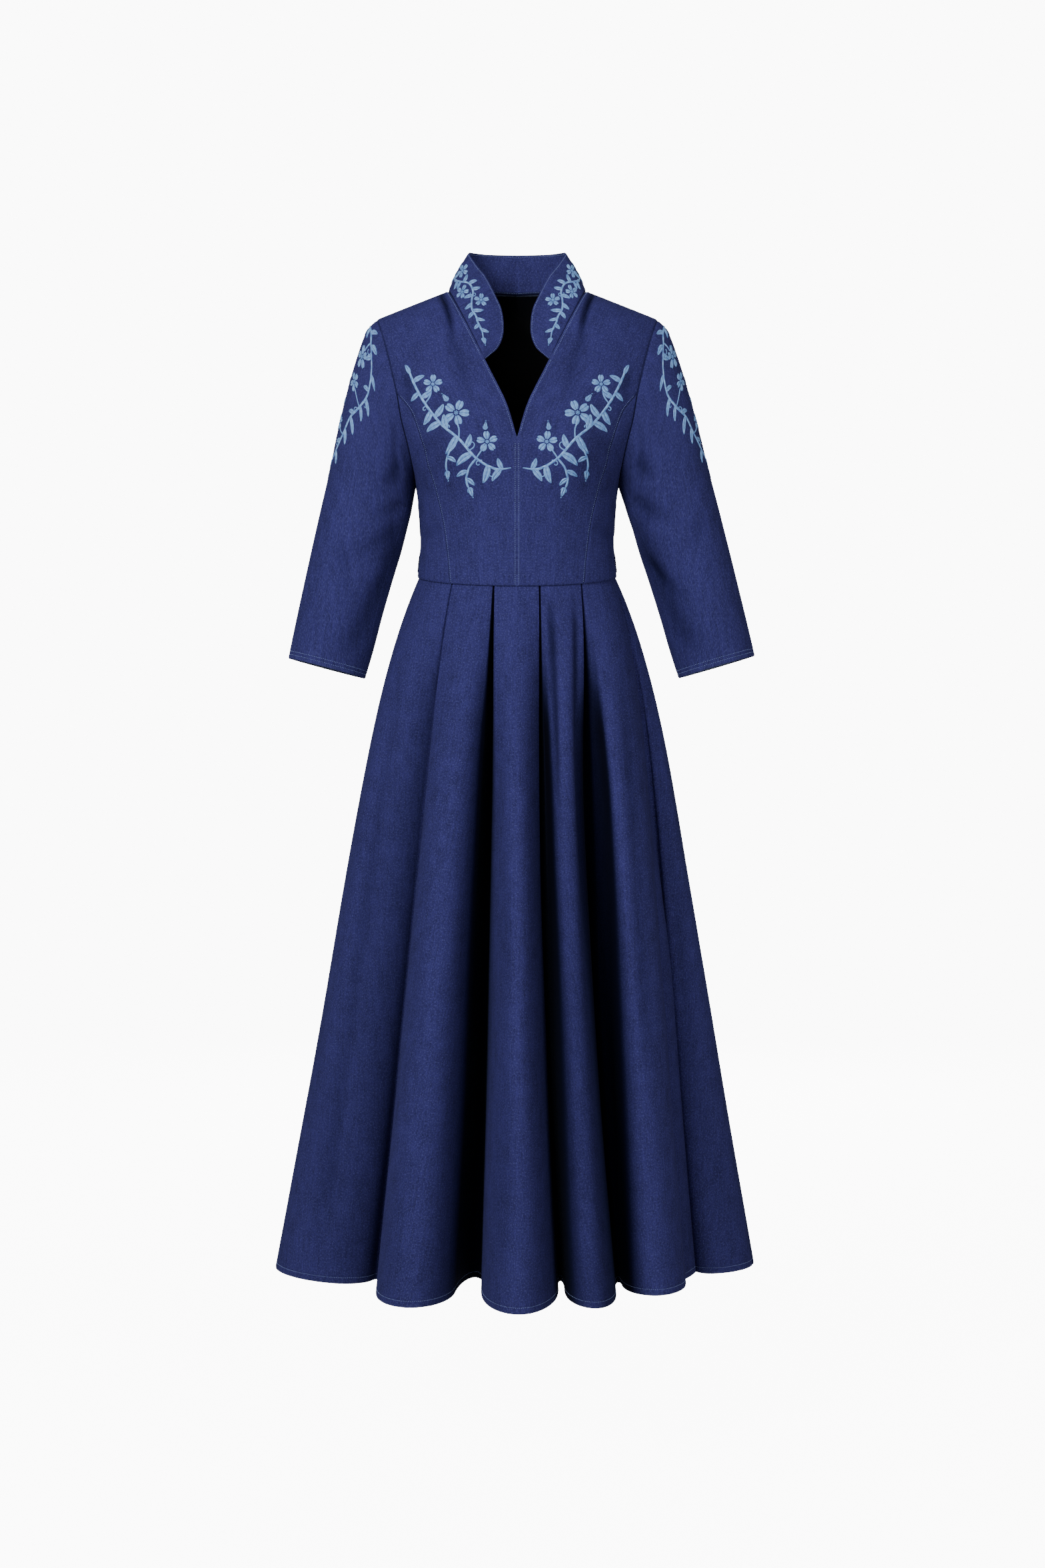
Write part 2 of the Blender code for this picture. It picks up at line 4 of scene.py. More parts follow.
import bmesh
import bpy
import numpy as np
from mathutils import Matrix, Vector


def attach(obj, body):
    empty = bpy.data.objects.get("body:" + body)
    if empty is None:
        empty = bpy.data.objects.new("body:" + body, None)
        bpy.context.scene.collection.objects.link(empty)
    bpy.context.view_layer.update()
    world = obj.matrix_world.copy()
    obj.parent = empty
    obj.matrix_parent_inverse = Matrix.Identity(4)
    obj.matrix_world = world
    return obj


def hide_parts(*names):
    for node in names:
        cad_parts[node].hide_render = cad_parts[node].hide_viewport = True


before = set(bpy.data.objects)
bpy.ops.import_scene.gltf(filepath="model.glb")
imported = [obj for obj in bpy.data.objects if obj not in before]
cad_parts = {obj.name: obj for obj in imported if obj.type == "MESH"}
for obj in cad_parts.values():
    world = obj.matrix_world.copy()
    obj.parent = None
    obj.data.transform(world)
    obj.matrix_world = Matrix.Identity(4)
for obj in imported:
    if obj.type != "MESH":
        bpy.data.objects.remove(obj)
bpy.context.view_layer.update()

MM = 0.001

# The walls
DENIM_WALL = 1.6 * MM
COLLAR_WALL = 2.4 * MM
LINING_WALL = 1.0 * MM
# How far the lining lies inside the denim, and how far it ends from the V and the armholes,
# above the waist seam and below the back neck
LINING_GAP = 2.2 * MM
LINING_MARGIN = 4 * MM
LINING_FOOT = 7 * MM
LINING_NECK = 0.4 * MM
# Main sizes of the dress; the waist seam falls by WAIST_DIP for each unit towards the front
HEM_HEIGHT = -1382 * MM
WAIST_HEIGHT = -401.5 * MM
WAIST_DIP = 0.212
WAIST_LAP = 5 * MM
LAP_GAP = 1.1 * MM
NECK_HALF = 99 * MM
NECK_HEIGHT = 4 * MM
BACK_NECK_HEIGHT = 13.3 * MM
SHOULDER_HALF = 199.5 * MM
SHOULDER_SLOPE = 0.39
SHOULDER_ROUND = 62 * MM
V_DEPTH = -219.7 * MM
V_TOP_HALF = 45.4 * MM
V_TOP_HEIGHT = -105.7 * MM
ARMPIT_HEIGHT = -274 * MM
ARMHOLE_LIFT = 5.6 * MM
PRINCESS_TOP_HEIGHT = -149 * MM
BUST_HALF, BUST_HEIGHT, BUST_RISE = 86 * MM, -238 * MM, 19 * MM
BUST_WIDTH, BUST_LENGTH = 42 * MM, 50 * MM
SLEEVE_BLEND = 5
UNDERARM = math.radians(152)
SLEEVE_SWING = {"right": 0.0, "left": math.radians(1.5)}
PLEAT_MOUTH = 0.6
HIP_FRONT, HIP_SIDE = 7 * MM, 21.5 * MM

# Steps of the cloth grids
CENTRE_STEPS, V_STEPS, NECK_STEPS = 30, 20, 30
SIDE_STEPS, ARMHOLE_STEPS, SHOULDER_STEPS = 20, 30, 25
FRONT_COLUMNS, SIDE_COLUMNS, LAST_STEP = 45, 24, 0.7
COLLAR_ROWS, COLLAR_FINE = 13, 5
SLEEVE_RINGS, SLEEVE_TURNS = 64, 85
CREST_STEPS, DIP_STEPS, SKIRT_LEVELS = 28, 12, 74

# How far in from its edge each row of topstitching runs, hem rows in mm
CENTRE_ROW, PRINCESS_ROW, NECK_ROW = 2.7 * MM, 2.6 * MM, 3.0 * MM
COLLAR_EDGE_ROW, COLLAR_SEAM_ROW = 2.4 * MM, 2.6 * MM
SLEEVE_HEM_ROWS = (5.7, 10.6)
SKIRT_HEM_ROW = 8.3

# A crease's bow as a share of its length, the stretch below the shoulder seam where creases
# fade in, and how much painted shade a trough of this depth gets
CREASE_BOW, CREASE_FADE = 0.06, 12 * MM
TROUGH_PAINTED_SHADE, TROUGH_DEPTH = 0.72, 5 * MM

# Where an edge is most worn, how far the wear reaches and how wide a seam's line of painted shade is, in mm
WEAR_PLACE, WEAR_REACH, SHADE_LINE_REACH = 1.2, 2.2, 1.1
SHARP_ANGLE = math.radians(60)

SIDES = (("left", False), ("right", True))


def table(columns, *rows):
    values = np.array(rows, float) * MM
    return {name: values[:, index] for index, name in enumerate(columns.split())}


# The body of the dress: half its width and its depth to the front and the back, all in mm
GIRTH = table(
    "height half front back",
    (-440, 144.5, 106, 89), (-401.5, 142.0, 102, 85), (-359, 138.0, 101, 86), (-321, 139.0, 104, 91),
    (-283, 143.3, 108, 97), (-262, 147.8, 110, 100), (-238, 160.0, 110, 102), (-216, 172.0, 109, 104),
    (-189, 187.0, 106, 105), (-149, 203.0, 98, 104), (-120, 209.0, 91, 101), (-82, 215.0, 80, 94),
    (-35, 222.0, 66, 84), (10, 226.0, 56, 74), (70, 226.0, 46, 64),
)
# How far the armholes, the princess seams and the V's edges lie from the middle
ARMHOLE = table(
    "height across",
    (-274, 144.5), (-262, 145.6), (-238, 150.0), (-216, 155.0), (-189, 162.0), (-149, 169.0),
    (-124, 174.6), (-90, 182.7), (-52, 193.6), (-35, 199.5),
)
PRINCESS = table(
    "height across",
    (-425, 93.0), (-376, 97.5), (-330, 104.0), (-287, 114.2), (-248, 125.6), (-203, 138.5),
    (-178, 148.5), (-149, 169.0),
)
V_EDGE = table("height across", (-219.7, 0.0), (-169, 15.1), (-137.4, 29.9), (-105.7, 45.4))
# The collar's neck seam and free edge, from the centre back to the tip
COLLAR = table(
    "seam_x seam_z edge_x edge_y edge_z",
    (0, 13.3, 0, 60, 70.5), (32, 12.3, 27, 57, 70.0), (62, 9.7, 50, 45, 68.5), (88, 5.9, 64.5, 27, 66.5),
    (99, 4.0, 69, 8, 61.5), (94, -6.2, 58, -10, 41.0), (87.5, -19.5, 44, -27, 20.0),
    (79.5, -36, 30, -43, -10.0), (72, -51, 21.5, -55, -32.0), (64.5, -66.5, 18.5, -64, -57.0),
    (57.5, -81, 20.5, -70, -75.0), (52, -92, 27, -74, -90.0), (48, -100.3, 38, -77, -101.0),
    (45.7, -105.2, 43.2, -79, -106.2),
)
SHOULDER_STATION = 4
# The sleeve's rings, from the shoulder down: outer and inner line, depth to front and back
SLEEVE = table(
    "outer_x outer_z inner_x inner_z front back",
    (199.5, -35.2, 144.9, -274, 55, 62), (215.0, -53, 146.3, -281, 56, 63),
    (229.5, -93, 147.5, -289, 58, 64), (243.0, -141, 149.0, -298, 60, 64),
    (256.5, -198, 151.5, -312, 61, 62), (268.0, -255, 156.5, -333, 61, 59),
    (281.2, -312, 165.0, -367, 60, 56), (294.5, -371, 177.0, -406, 59, 52),
    (307.0, -428, 192.0, -458, 58, 48), (317.3, -476, 204.3, -505, 57, 45),
    (326.0, -518, 216.6, -547, 56, 42),
)
# The skirt's folds: where a fold's crest starts, peaks and ends on the hem, the deepest point of
# the dip after it, all from above in mm, its place on the waist seam in degrees, how deep its
# pleat is tucked and how wide it gapes, in mm, and how late it swings out
Fold = namedtuple("Fold", "start apex end valley waist tuck gape late")
FOLDS = {
    "right_side": Fold((-342, 0), (-283, -106), (-197, -99), (-176, -114), (-90, -40.4), 2.5, 0, 1),
    "right_front": Fold((-190, -168), (-140, -265), (-82, -172), (-58, -84), (-40.4, -13.4), 8, 6, 1),
    "centre_front": Fold((-48.5, -172), (3, -303), (56, -172), (60, -108), (-13.4, 13), 8, 7, 2),
    "left_front": Fold((64.5, -178), (101, -269), (134, -186), (137, -122), (13, 39.9), 8, 18, 1.9),
    "left_hip": Fold((143, -139), (197, -193), (231, -98), (236, -52), (39.9, 80), 2, 0, 1),
    "left_side": Fold((250, -36), (288, -57), (336, 0), (336, 0), (80, 90), 0, 0, 0.95),
    "left_back_side": Fold((336, 0), (290, 96), (210, 104), (188, 98), (90, 138), 5, 6, 0.95),
    "left_back": Fold((196, 158), (142, 248), (94, 172), (76, 90), (138, 166), 8, 6, 1.2),
    "centre_back": Fold((58, 176), (0, 286), (-46, 178), (-52, 100), (166, 194), 8, 6, 1.6),
    "right_back": Fold((-62, 176), (-98, 268), (-136, 180), (-142, 104), (194, 220), 8, 10, 1.4),
    "right_hip": Fold((-154, 146), (-200, 204), (-246, 118), (-250, 66), (220, 258), 3, 0, 1),
    "right_back_side": Fold((-266, 58), (-300, 76), (-342, 0), (-342, 0), (258, 270), 0, 0, 1),
}

# Soft creases: where each begins and ends, its half width and its rise (a trough is below
# zero), and the shares of its length over which it grows in and fades out
Crease = namedtuple("Crease", "u0 v0 u1 v1 width rise lead tail")
FRONT_CREASES = (  # across and height, in mm, the same on both sides
    Crease(110, 4, 90, -100, 4.6, -6.5, 0.02, 0.6),
    Crease(98, -64, 70, -168, 9.0, -1.8, 0.3, 0.5),
    Crease(103, 2, 81, -96, 6.0, 3.0, 0.05, 0.5),
    Crease(121, 4, 103, -70, 6.0, 1.2, 0.02, 0.6),
    Crease(144, -240, 92, -214, 9.0, -1.0, 0.2, 0.6),
    Crease(144, -258, 98, -254, 9.0, 0.6, 0.2, 0.6),
    Crease(142, -272, 108, -300, 9.0, -0.9, 0.15, 0.6),
    Crease(136, -352, 98, -338, 8.0, -1.3, 0.2, 0.5),
    Crease(131, -378, 106, -372, 7.0, 1.0, 0.2, 0.5),
    Crease(164, -110, 148, -200, 9.0, -1.8, 0.3, 0.4),
    Crease(90, -394, 62, -340, 8.0, -0.8, 0.2, 0.6),
)
BACK_CREASES = (
    Crease(109, 6, 92, -70, 6.0, -2.2, 0.02, 0.6),
    Crease(150, -230, 96, -214, 9.0, -2.0, 0.2, 0.5),
    Crease(146, -262, 100, -284, 9.0, -1.6, 0.2, 0.5),
    Crease(148, -160, 70, -150, 12.0, 1.4, 0.4, 0.5),
    Crease(134, -340, 60, -332, 8.0, -1.5, 0.2, 0.5),
    Crease(132, -366, 50, -362, 8.0, -1.2, 0.2, 0.5),
    Crease(18, -120, 22, -300, 12.0, -1.0, 0.4, 0.4),
)
SLEEVE_CREASES = {  # degrees from the shoulder round the front, and mm down from the shoulder
    "left": (
        Crease(150, 190, 112, 500, 22, -3.2, 0.3, 0.2),
        Crease(120, 40, 96, 200, 10, -4.0, 0.25, 0.6),
        Crease(98, 30, 84, 150, 9, 2.0, 0.25, 0.6),
        Crease(150, 110, 88, 300, 11, -3.2, 0.3, 0.5),
        Crease(150, 240, 60, 330, 12, 2.2, 0.3, 0.5),
        Crease(160, 290, 96, 420, 10, -2.4, 0.3, 0.5),
        Crease(48, 280, 96, 350, 12, -1.8, 0.4, 0.5),
        Crease(242, 50, 270, 230, 10, -3.4, 0.25, 0.6),
        Crease(215, 180, 290, 310, 11, -2.6, 0.3, 0.5),
        Crease(205, 300, 280, 400, 11, -1.8, 0.3, 0.5),
    ),
    "right": (
        Crease(150, 210, 110, 500, 20, -2.8, 0.3, 0.2),
        Crease(122, 40, 98, 230, 10, -4.2, 0.25, 0.6),
        Crease(100, 30, 88, 170, 9, 2.0, 0.25, 0.6),
        Crease(150, 150, 92, 280, 10, -2.4, 0.3, 0.5),
        Crease(152, 230, 70, 360, 12, -2.2, 0.3, 0.5),
        Crease(150, 330, 84, 380, 11, 1.8, 0.3, 0.5),
        Crease(56, 300, 104, 430, 12, -1.6, 0.4, 0.5),
        Crease(240, 50, 268, 240, 10, -3.4, 0.25, 0.6),
        Crease(212, 200, 284, 290, 11, -2.6, 0.3, 0.5),
        Crease(208, 310, 272, 420, 11, -1.8, 0.3, 0.5),
    ),
}
# Shallow folds that lie along the skirt's large ones: share across the fold at the top and at
# the bottom, where on the skirt's length they begin and end, width as a share of the fold, and
# rise in mm
Ripple = namedtuple("Ripple", "across0 across1 top bottom width rise")
RIPPLES = {
    "right_side": (
        Ripple(0.30, 0.34, 0.05, 0.80, 0.10, 2.0),
        Ripple(0.48, 0.52, 0.10, 1.1, 0.09, -2.2),
        Ripple(0.72, 0.64, 0.35, 1.1, 0.08, 1.8),
    ),
    "right_front": (Ripple(0.62, 0.66, 0.40, 1.1, 0.12, 1.2),),
    "centre_front": (Ripple(0.30, 0.34, 0.35, 1.1, 0.12, -1.0),),
    "left_front": (
        Ripple(0.24, 0.14, -0.2, 0.42, 0.09, -6.0),
        Ripple(0.84, 0.84, -0.1, 0.60, 0.10, -5.0),
        Ripple(0.56, 0.62, 0.35, 1.1, 0.12, 1.0),
    ),
    "left_hip": (
        Ripple(0.30, 0.40, 0.15, 0.80, 0.09, 1.6),
        Ripple(0.55, 0.50, 0.05, 0.75, 0.10, -2.2),
        Ripple(0.74, 0.80, 0.25, 1.1, 0.09, 2.0),
    ),
    "left_side": (Ripple(0.50, 0.45, 0.10, 0.90, 0.14, -1.6),),
    "left_back_side": (
        Ripple(0.40, 0.46, 0.05, 0.85, 0.10, -2.6),
        Ripple(0.66, 0.62, 0.25, 1.1, 0.09, 2.0),
    ),
    "left_back": (Ripple(0.60, 0.56, 0.35, 1.1, 0.12, 1.2),),
    "centre_back": (Ripple(0.36, 0.32, 0.30, 1.1, 0.12, -1.1),),
    "right_back": (Ripple(0.62, 0.66, 0.35, 1.1, 0.12, 1.1),),
    "right_hip": (
        Ripple(0.34, 0.28, 0.10, 0.80, 0.10, -2.2),
        Ripple(0.60, 0.66, 0.20, 1.1, 0.09, 1.8),
    ),
    "right_back_side": (Ripple(0.45, 0.50, 0.10, 0.90, 0.14, -1.8),),
}


def smooth(values, place, places=None):
    """A smooth curve through values, read at place; places are the values' own, or 0, 1, 2..."""
    places = np.arange(len(values), dtype=float) if places is None else places
    place = np.asarray(place, float)
    slopes = np.gradient(values, places)
    low = np.clip(np.searchsorted(places, place) - 1, 0, len(places) - 2)
    step = places[low + 1] - places[low]
    share = np.clip((place - places[low]) / step, 0, 1)
    rise = values[low + 1] - values[low]
    bend = (1 - share) * (slopes[low] * step - rise) + share * (rise - slopes[low + 1] * step)
    return values[low] + share * rise + share * (1 - share) * bend


def read(rows, column, at):
    return smooth(rows[column], at, rows["height"])


def eased(share):
    share = np.clip(share, 0, 1)
    return share * share * (3 - 2 * share)


def crease_rise(creases, u, v):
    """How far the creases lift the cloth at (u, v), in metres; degrees are given times MM."""
    total = np.zeros(np.broadcast(u, v).shape)
    for crease in creases:
        u0, v0 = crease.u0 * MM, crease.v0 * MM
        du, dv = (crease.u1 - crease.u0) * MM, (crease.v1 - crease.v0) * MM
        length = math.hypot(du, dv)
        along = ((u - u0) * du + (v - v0) * dv) / length**2
        off = ((u - u0) * dv - (v - v0) * du) / length
        bow = CREASE_BOW * length * np.sin(np.pi * np.clip(along, 0, 1))
        window = eased(along / crease.lead) * eased((1 - along) / crease.tail)
        total += crease.rise * MM * np.exp(-(((off - bow) / (crease.width * MM)) ** 2)) * window
    return total


def trough_shade(rise):
    """The painted shade of the cloth in a trough of this rise, which is below zero there."""
    return TROUGH_PAINTED_SHADE * np.clip(-rise / TROUGH_DEPTH, 0, 1)


def shoulder_line(x):
    return NECK_HEIGHT - SHOULDER_SLOPE * (np.abs(x) - NECK_HALF)


def bodice_y(x, z, face):
    """How far the bodice lies before (-) or behind (+) the shoulder seams."""
    roundness = np.sqrt(np.maximum(0.0, 1 - (x / read(GIRTH, "half", z)) ** 2))
    below = np.clip((shoulder_line(x) - z) / SHOULDER_ROUND, 0.0, 1.0)
    reach = roundness * np.sqrt(1 - (1 - below) ** 2)
    if face == "back":
        return read(GIRTH, face, z) * reach
    across, along = (np.abs(x) - BUST_HALF) / BUST_WIDTH, (z - BUST_HEIGHT) / BUST_LENGTH
    return -(read(GIRTH, face, z) + BUST_RISE * np.exp(-across * across - along * along)) * reach


def bodice_point(x, z, face):
    """The bodice's outer face with its creases."""
    x, z = np.broadcast_arrays(np.asarray(x, float), np.asarray(z, float))
    way = -1 if face == "front" else 1
    y = bodice_y(x, z, face)
    step = 0.5 * MM
    slope_x = (bodice_y(x + step, z, face) - bodice_y(x - step, z, face)) / (2 * step)
    slope_z = (bodice_y(x, z + step, face) - bodice_y(x, z - step, face)) / (2 * step)
    normal = np.stack([-slope_x * way, np.full_like(x, way), -slope_z * way], -1)
    normal /= np.linalg.norm(normal, axis=-1, keepdims=True)
    rise = crease_rise(FRONT_CREASES if face == "front" else BACK_CREASES, np.abs(x), z)
    rise *= eased((shoulder_line(x) - z) / CREASE_FADE)
    return np.stack([x, y, z], -1) + normal * rise[..., None]


def waist_z(x, face):
    """Height of the waist seam, which lies lower the further it comes to the front."""
    height = np.full_like(np.asarray(x, float), WAIST_HEIGHT)
    for _ in range(4):
        height = WAIST_HEIGHT + WAIST_DIP * bodice_y(x, height, face)
    return height


def side_x(z):
    return read(GIRTH, "half", z)


def armhole_x(z):
    return read(ARMHOLE, "across", z)


def princess_x(z):
    return read(PRINCESS, "across", z)


def centre_x(z):
    return np.zeros_like(z)


def v_edge_x(z):
    return read(V_EDGE, "across", z)


def front_neck_x(z):
    share = (z - V_TOP_HEIGHT) / (NECK_HEIGHT - V_TOP_HEIGHT)
    return V_TOP_HALF + (NECK_HALF - V_TOP_HALF) * share


def back_neck_z(x):
    return BACK_NECK_HEIGHT - (BACK_NECK_HEIGHT - NECK_HEIGHT) * (x / NECK_HALF) ** 2


def leg(across, low, high, count):
    """Points (x, z) up a seam, closer together where the shoulder rounds over."""
    share = np.linspace(0, 1, count + 1)
    if high > PRINCESS_TOP_HEIGHT:
        share = np.sin(share * math.pi / 2)
    z = low + (high - low) * share
    return np.stack([across(z), z], 1)


def armhole_z(turn):
    """Heights on the armhole; half a turn is the armpit and 0 the shoulder."""
    top = shoulder_line(SHOULDER_HALF)
    middle, half = (top + ARMPIT_HEIGHT) / 2, (top - ARMPIT_HEIGHT) / 2
    return middle + half * np.cos(turn) + ARMHOLE_LIFT * np.sin(turn) ** 2


def armhole_leg(low_turn, high_turn, count):
    """Points (x, z) along the armhole."""
    z = armhole_z(np.linspace(low_turn, high_turn, count + 1))
    return np.stack([armhole_x(z), z], 1)


def unit(vectors):
    return vectors / np.maximum(np.linalg.norm(vectors, axis=-1, keepdims=True), 1e-12)


def run_along(points):
    """How far along a line each of its points lies."""
    return np.concatenate([[0], np.cumsum(np.linalg.norm(np.diff(points, axis=0), axis=1))])


def normals(grid):
    """Which way the cloth faces at each point of a grid."""
    spans = unit(np.diff(grid, axis=1))
    ahead = np.concatenate([spans, spans[:, -1:]], axis=1)
    behind = np.concatenate([spans[:, :1], spans], axis=1)
    return unit(np.cross(ahead + behind, np.gradient(grid, axis=0)))


def patch(inner, outer, columns, face, foot, top=None):
    """A grid on the bodice between two edges, from the waist seam up."""
    up = np.linspace(0, 1, len(inner))[:, None]
    across = np.linspace(0, 1, columns + 1)[None, :]
    x0, z0, x1, z1 = inner[:, :1], inner[:, 1:], outer[:, :1], outer[:, 1:]
    turn0 = np.arcsin(np.minimum(1.0, x0 / side_x(z0)))
    turn1 = np.arcsin(np.minimum(1.0, x1 / side_x(z1)))
    turn = turn0 + (turn1 - turn0) * across
    share = (np.sin(turn) - np.sin(turn0)) / (np.sin(turn1) - np.sin(turn0))
    if top is not None:
        top_share = (top[:, 0] - top[0, 0]) / (top[-1, 0] - top[0, 0])
        share = share + (top_share - share) * up
    x = x0 + (x1 - x0) * share
    z = z0 + (z1 - z0) * share
    low_chord = inner[0, 1] + (outer[0, 1] - inner[0, 1]) * share
    z = z + (waist_z(x, face) + foot - low_chord) * (1 - up) ** 4
    if top is not None:
        top_chord = inner[-1, 1] + (outer[-1, 1] - inner[-1, 1]) * share
        z = z + (top[:, 1] - top_chord) * up**4
    return bodice_point(x, z, face)


def joined(*legs):
    return np.concatenate([legs[0]] + [points[1:] for points in legs[1:]])


def cut_short(points):
    """The same points with a shorter last step, so that two edges don't meet in one point."""
    points = points.copy()
    points[-1] = points[-2] + (points[-1] - points[-2]) * LAST_STEP
    return points


def princess_leg():
    low = float(waist_z(princess_x(WAIST_HEIGHT), "front"))
    return leg(princess_x, low, PRINCESS_TOP_HEIGHT, SIDE_STEPS + ARMHOLE_STEPS)


def front_grid():
    low = float(waist_z(0.0, "front"))
    inner = joined(
        leg(centre_x, low, V_DEPTH, CENTRE_STEPS),
        leg(v_edge_x, V_DEPTH, V_TOP_HEIGHT, V_STEPS),
        leg(front_neck_x, V_TOP_HEIGHT, NECK_HEIGHT, NECK_STEPS),
    )
    outer = joined(princess_leg(), armhole_leg(math.pi / 2, 0, ARMHOLE_STEPS))
    return patch(inner, outer, FRONT_COLUMNS, "front", 0.0)


def side_front_grid():
    side = leg(side_x, WAIST_HEIGHT, ARMPIT_HEIGHT, SIDE_STEPS)
    outer = joined(side, armhole_leg(math.pi, math.pi / 2, ARMHOLE_STEPS))
    return patch(cut_short(princess_leg()), cut_short(outer), SIDE_COLUMNS, "front", 0.0)


def back_grid(foot, margin, neck_margin=0.0):
    stations = np.linspace(0, SHOULDER_STATION, SHOULDER_STATION * COLLAR_FINE + 1)
    neck_x = smooth(COLLAR["seam_x"], stations)
    neck = np.stack([neck_x, back_neck_z(neck_x) - neck_margin], 1)
    shoulder_x = np.linspace(NECK_HALF, SHOULDER_HALF - margin, SHOULDER_STEPS + 1)
    top = joined(neck, np.stack([shoulder_x, shoulder_line(shoulder_x)], 1))
    side = leg(side_x, WAIST_HEIGHT + foot, ARMPIT_HEIGHT, SIDE_STEPS)
    outer = joined(side, armhole_leg(math.pi, 0, 2 * ARMHOLE_STEPS))
    outer[SIDE_STEPS + 1 :, 0] -= margin
    inner = leg(centre_x, float(waist_z(0.0, "back")) + foot, neck[0, 1], len(outer) - 1)
    return patch(inner, outer, len(top) - 1, "back", foot, top)


def lining_front_grid(foot):
    low = float(waist_z(0.0, "front")) + foot
    edge = joined(
        leg(v_edge_x, V_DEPTH, V_TOP_HEIGHT, V_STEPS),
        leg(front_neck_x, V_TOP_HEIGHT, shoulder_line(NECK_HALF + LINING_MARGIN), NECK_STEPS),
    )[1:]
    centre = leg(centre_x, low, V_DEPTH - LINING_MARGIN, CENTRE_STEPS)
    inner = np.concatenate([centre, edge + (LINING_MARGIN, 0)])
    side = leg(side_x, WAIST_HEIGHT + foot, ARMPIT_HEIGHT, SIDE_STEPS)
    outer = joined(side, armhole_leg(math.pi, 0, 2 * ARMHOLE_STEPS))
    outer[SIDE_STEPS + 1 :, 0] -= LINING_MARGIN
    return patch(inner, outer, FRONT_COLUMNS, "front", foot)


def graded(count):
    """Grid places from 0 to count, with more of them close to both ends."""
    near = np.array((0.07, 0.18, 0.36, 0.65))
    return np.concatenate([[0], near, np.arange(1, count), count - near[::-1], [count]])


def resampled(grid, rows, columns):
    low = np.minimum(rows.astype(int), grid.shape[0] - 2)
    grid = grid[low] + (grid[low + 1] - grid[low]) * (rows - low)[:, None, None]
    low = np.minimum(columns.astype(int), grid.shape[1] - 2)
    return grid[:, low] + (grid[:, low + 1] - grid[:, low]) * (columns - low)[None, :, None]


def distances(grid):
    """Distance of each point from the left, right, low and high edges, along the cloth."""
    across = np.linalg.norm(np.diff(grid, axis=1), axis=2)
    left = np.concatenate([np.zeros((len(grid), 1)), np.cumsum(across, axis=1)], axis=1)
    up = np.linalg.norm(np.diff(grid, axis=0), axis=2)
    low = np.concatenate([np.zeros((1, grid.shape[1])), np.cumsum(up, axis=0)], axis=0)
    return {"left": left, "right": left[:, -1:] - left, "low": low, "high": low[-1:] - low}


# How deep an edge is drawn in and how far that reaches, in mm, how worn it is, how dark its line
# of painted shade is, and how far it goes on under its neighbour, in mm
Edge = namedtuple("Edge", "sink reach wear dark under")
SEAM = Edge(0.8, 1.8, 0.1, 0.5, 0.5)
ARMHOLE_SEAM = Edge(1.4, 3.0, 0.1, 0.9, 1.6)
UNDERARM_SEAM = Edge(0.4, 2.0, 0.1, 0.9, 1.0)
INNER_SEAM = Edge(0.35, 1.0, 0.12, 0.12, 0.4)
COLLAR_SEAM = Edge(1.2, 2.2, 0.1, 0.8, 2.4)
DIP_SEAM = Edge(0.0, 1.0, 0.0, 0.0, 1.6)
TURNED = Edge(0.7, 1.3, 0.22, 0.0, 0.0)
LAPPED = Edge(0.5, 1.2, 0.0, 0.3, 0.0)
EDGE_ROWS = {
    "left": (np.s_[:, 0], np.s_[:, 1]), "right": (np.s_[:, -1], np.s_[:, -2]),
    "low": (np.s_[0], np.s_[1]), "high": (np.s_[-1], np.s_[-2]),
}


def finished(grid, way, edges):
    """The grid with its edges drawn in, how worn each point is and the painted shade of its seam lines."""
    away = distances(grid)
    sink, wear, dark = (np.zeros(grid.shape[:2]) for _ in range(3))
    for name, edge in edges.items():
        gap = away[name] / MM
        sink += edge.sink * MM * np.exp(-((gap / edge.reach) ** 2))
        wear = np.maximum(wear, edge.wear * np.exp(-(((gap - WEAR_PLACE) / WEAR_REACH) ** 2)))
        # Painted shade: a dark line along each seam
        dark = np.maximum(dark, edge.dark * np.exp(-((gap / SHADE_LINE_REACH) ** 2)))
    shaped = grid - normals(grid) * (way * sink[..., None])
    for name, edge in edges.items():
        outmost, beside = EDGE_ROWS[name]
        further = np.asarray(edge.under)[..., None] * MM
        shaped[outmost] += unit(grid[outmost] - grid[beside]) * further
    return shaped, wear, dark


def linked(name, data):
    item = bpy.data.objects.new(name, data)
    bpy.context.scene.collection.objects.link(item)
    return item


def laid_out(mesh, places, looks):
    """Give a mesh its places on the flat cloth, in metres, as its UV map, and its materials."""
    corners = np.zeros(len(mesh.loops), np.int32)
    mesh.loops.foreach_get("vertex_index", corners)
    layer = mesh.uv_layers.new(name="cloth")
    layer.data.foreach_set("uv", places[corners].astype(np.float32).ravel())
    for look in looks:
        mesh.materials.append(look)
    mesh.shade_smooth()


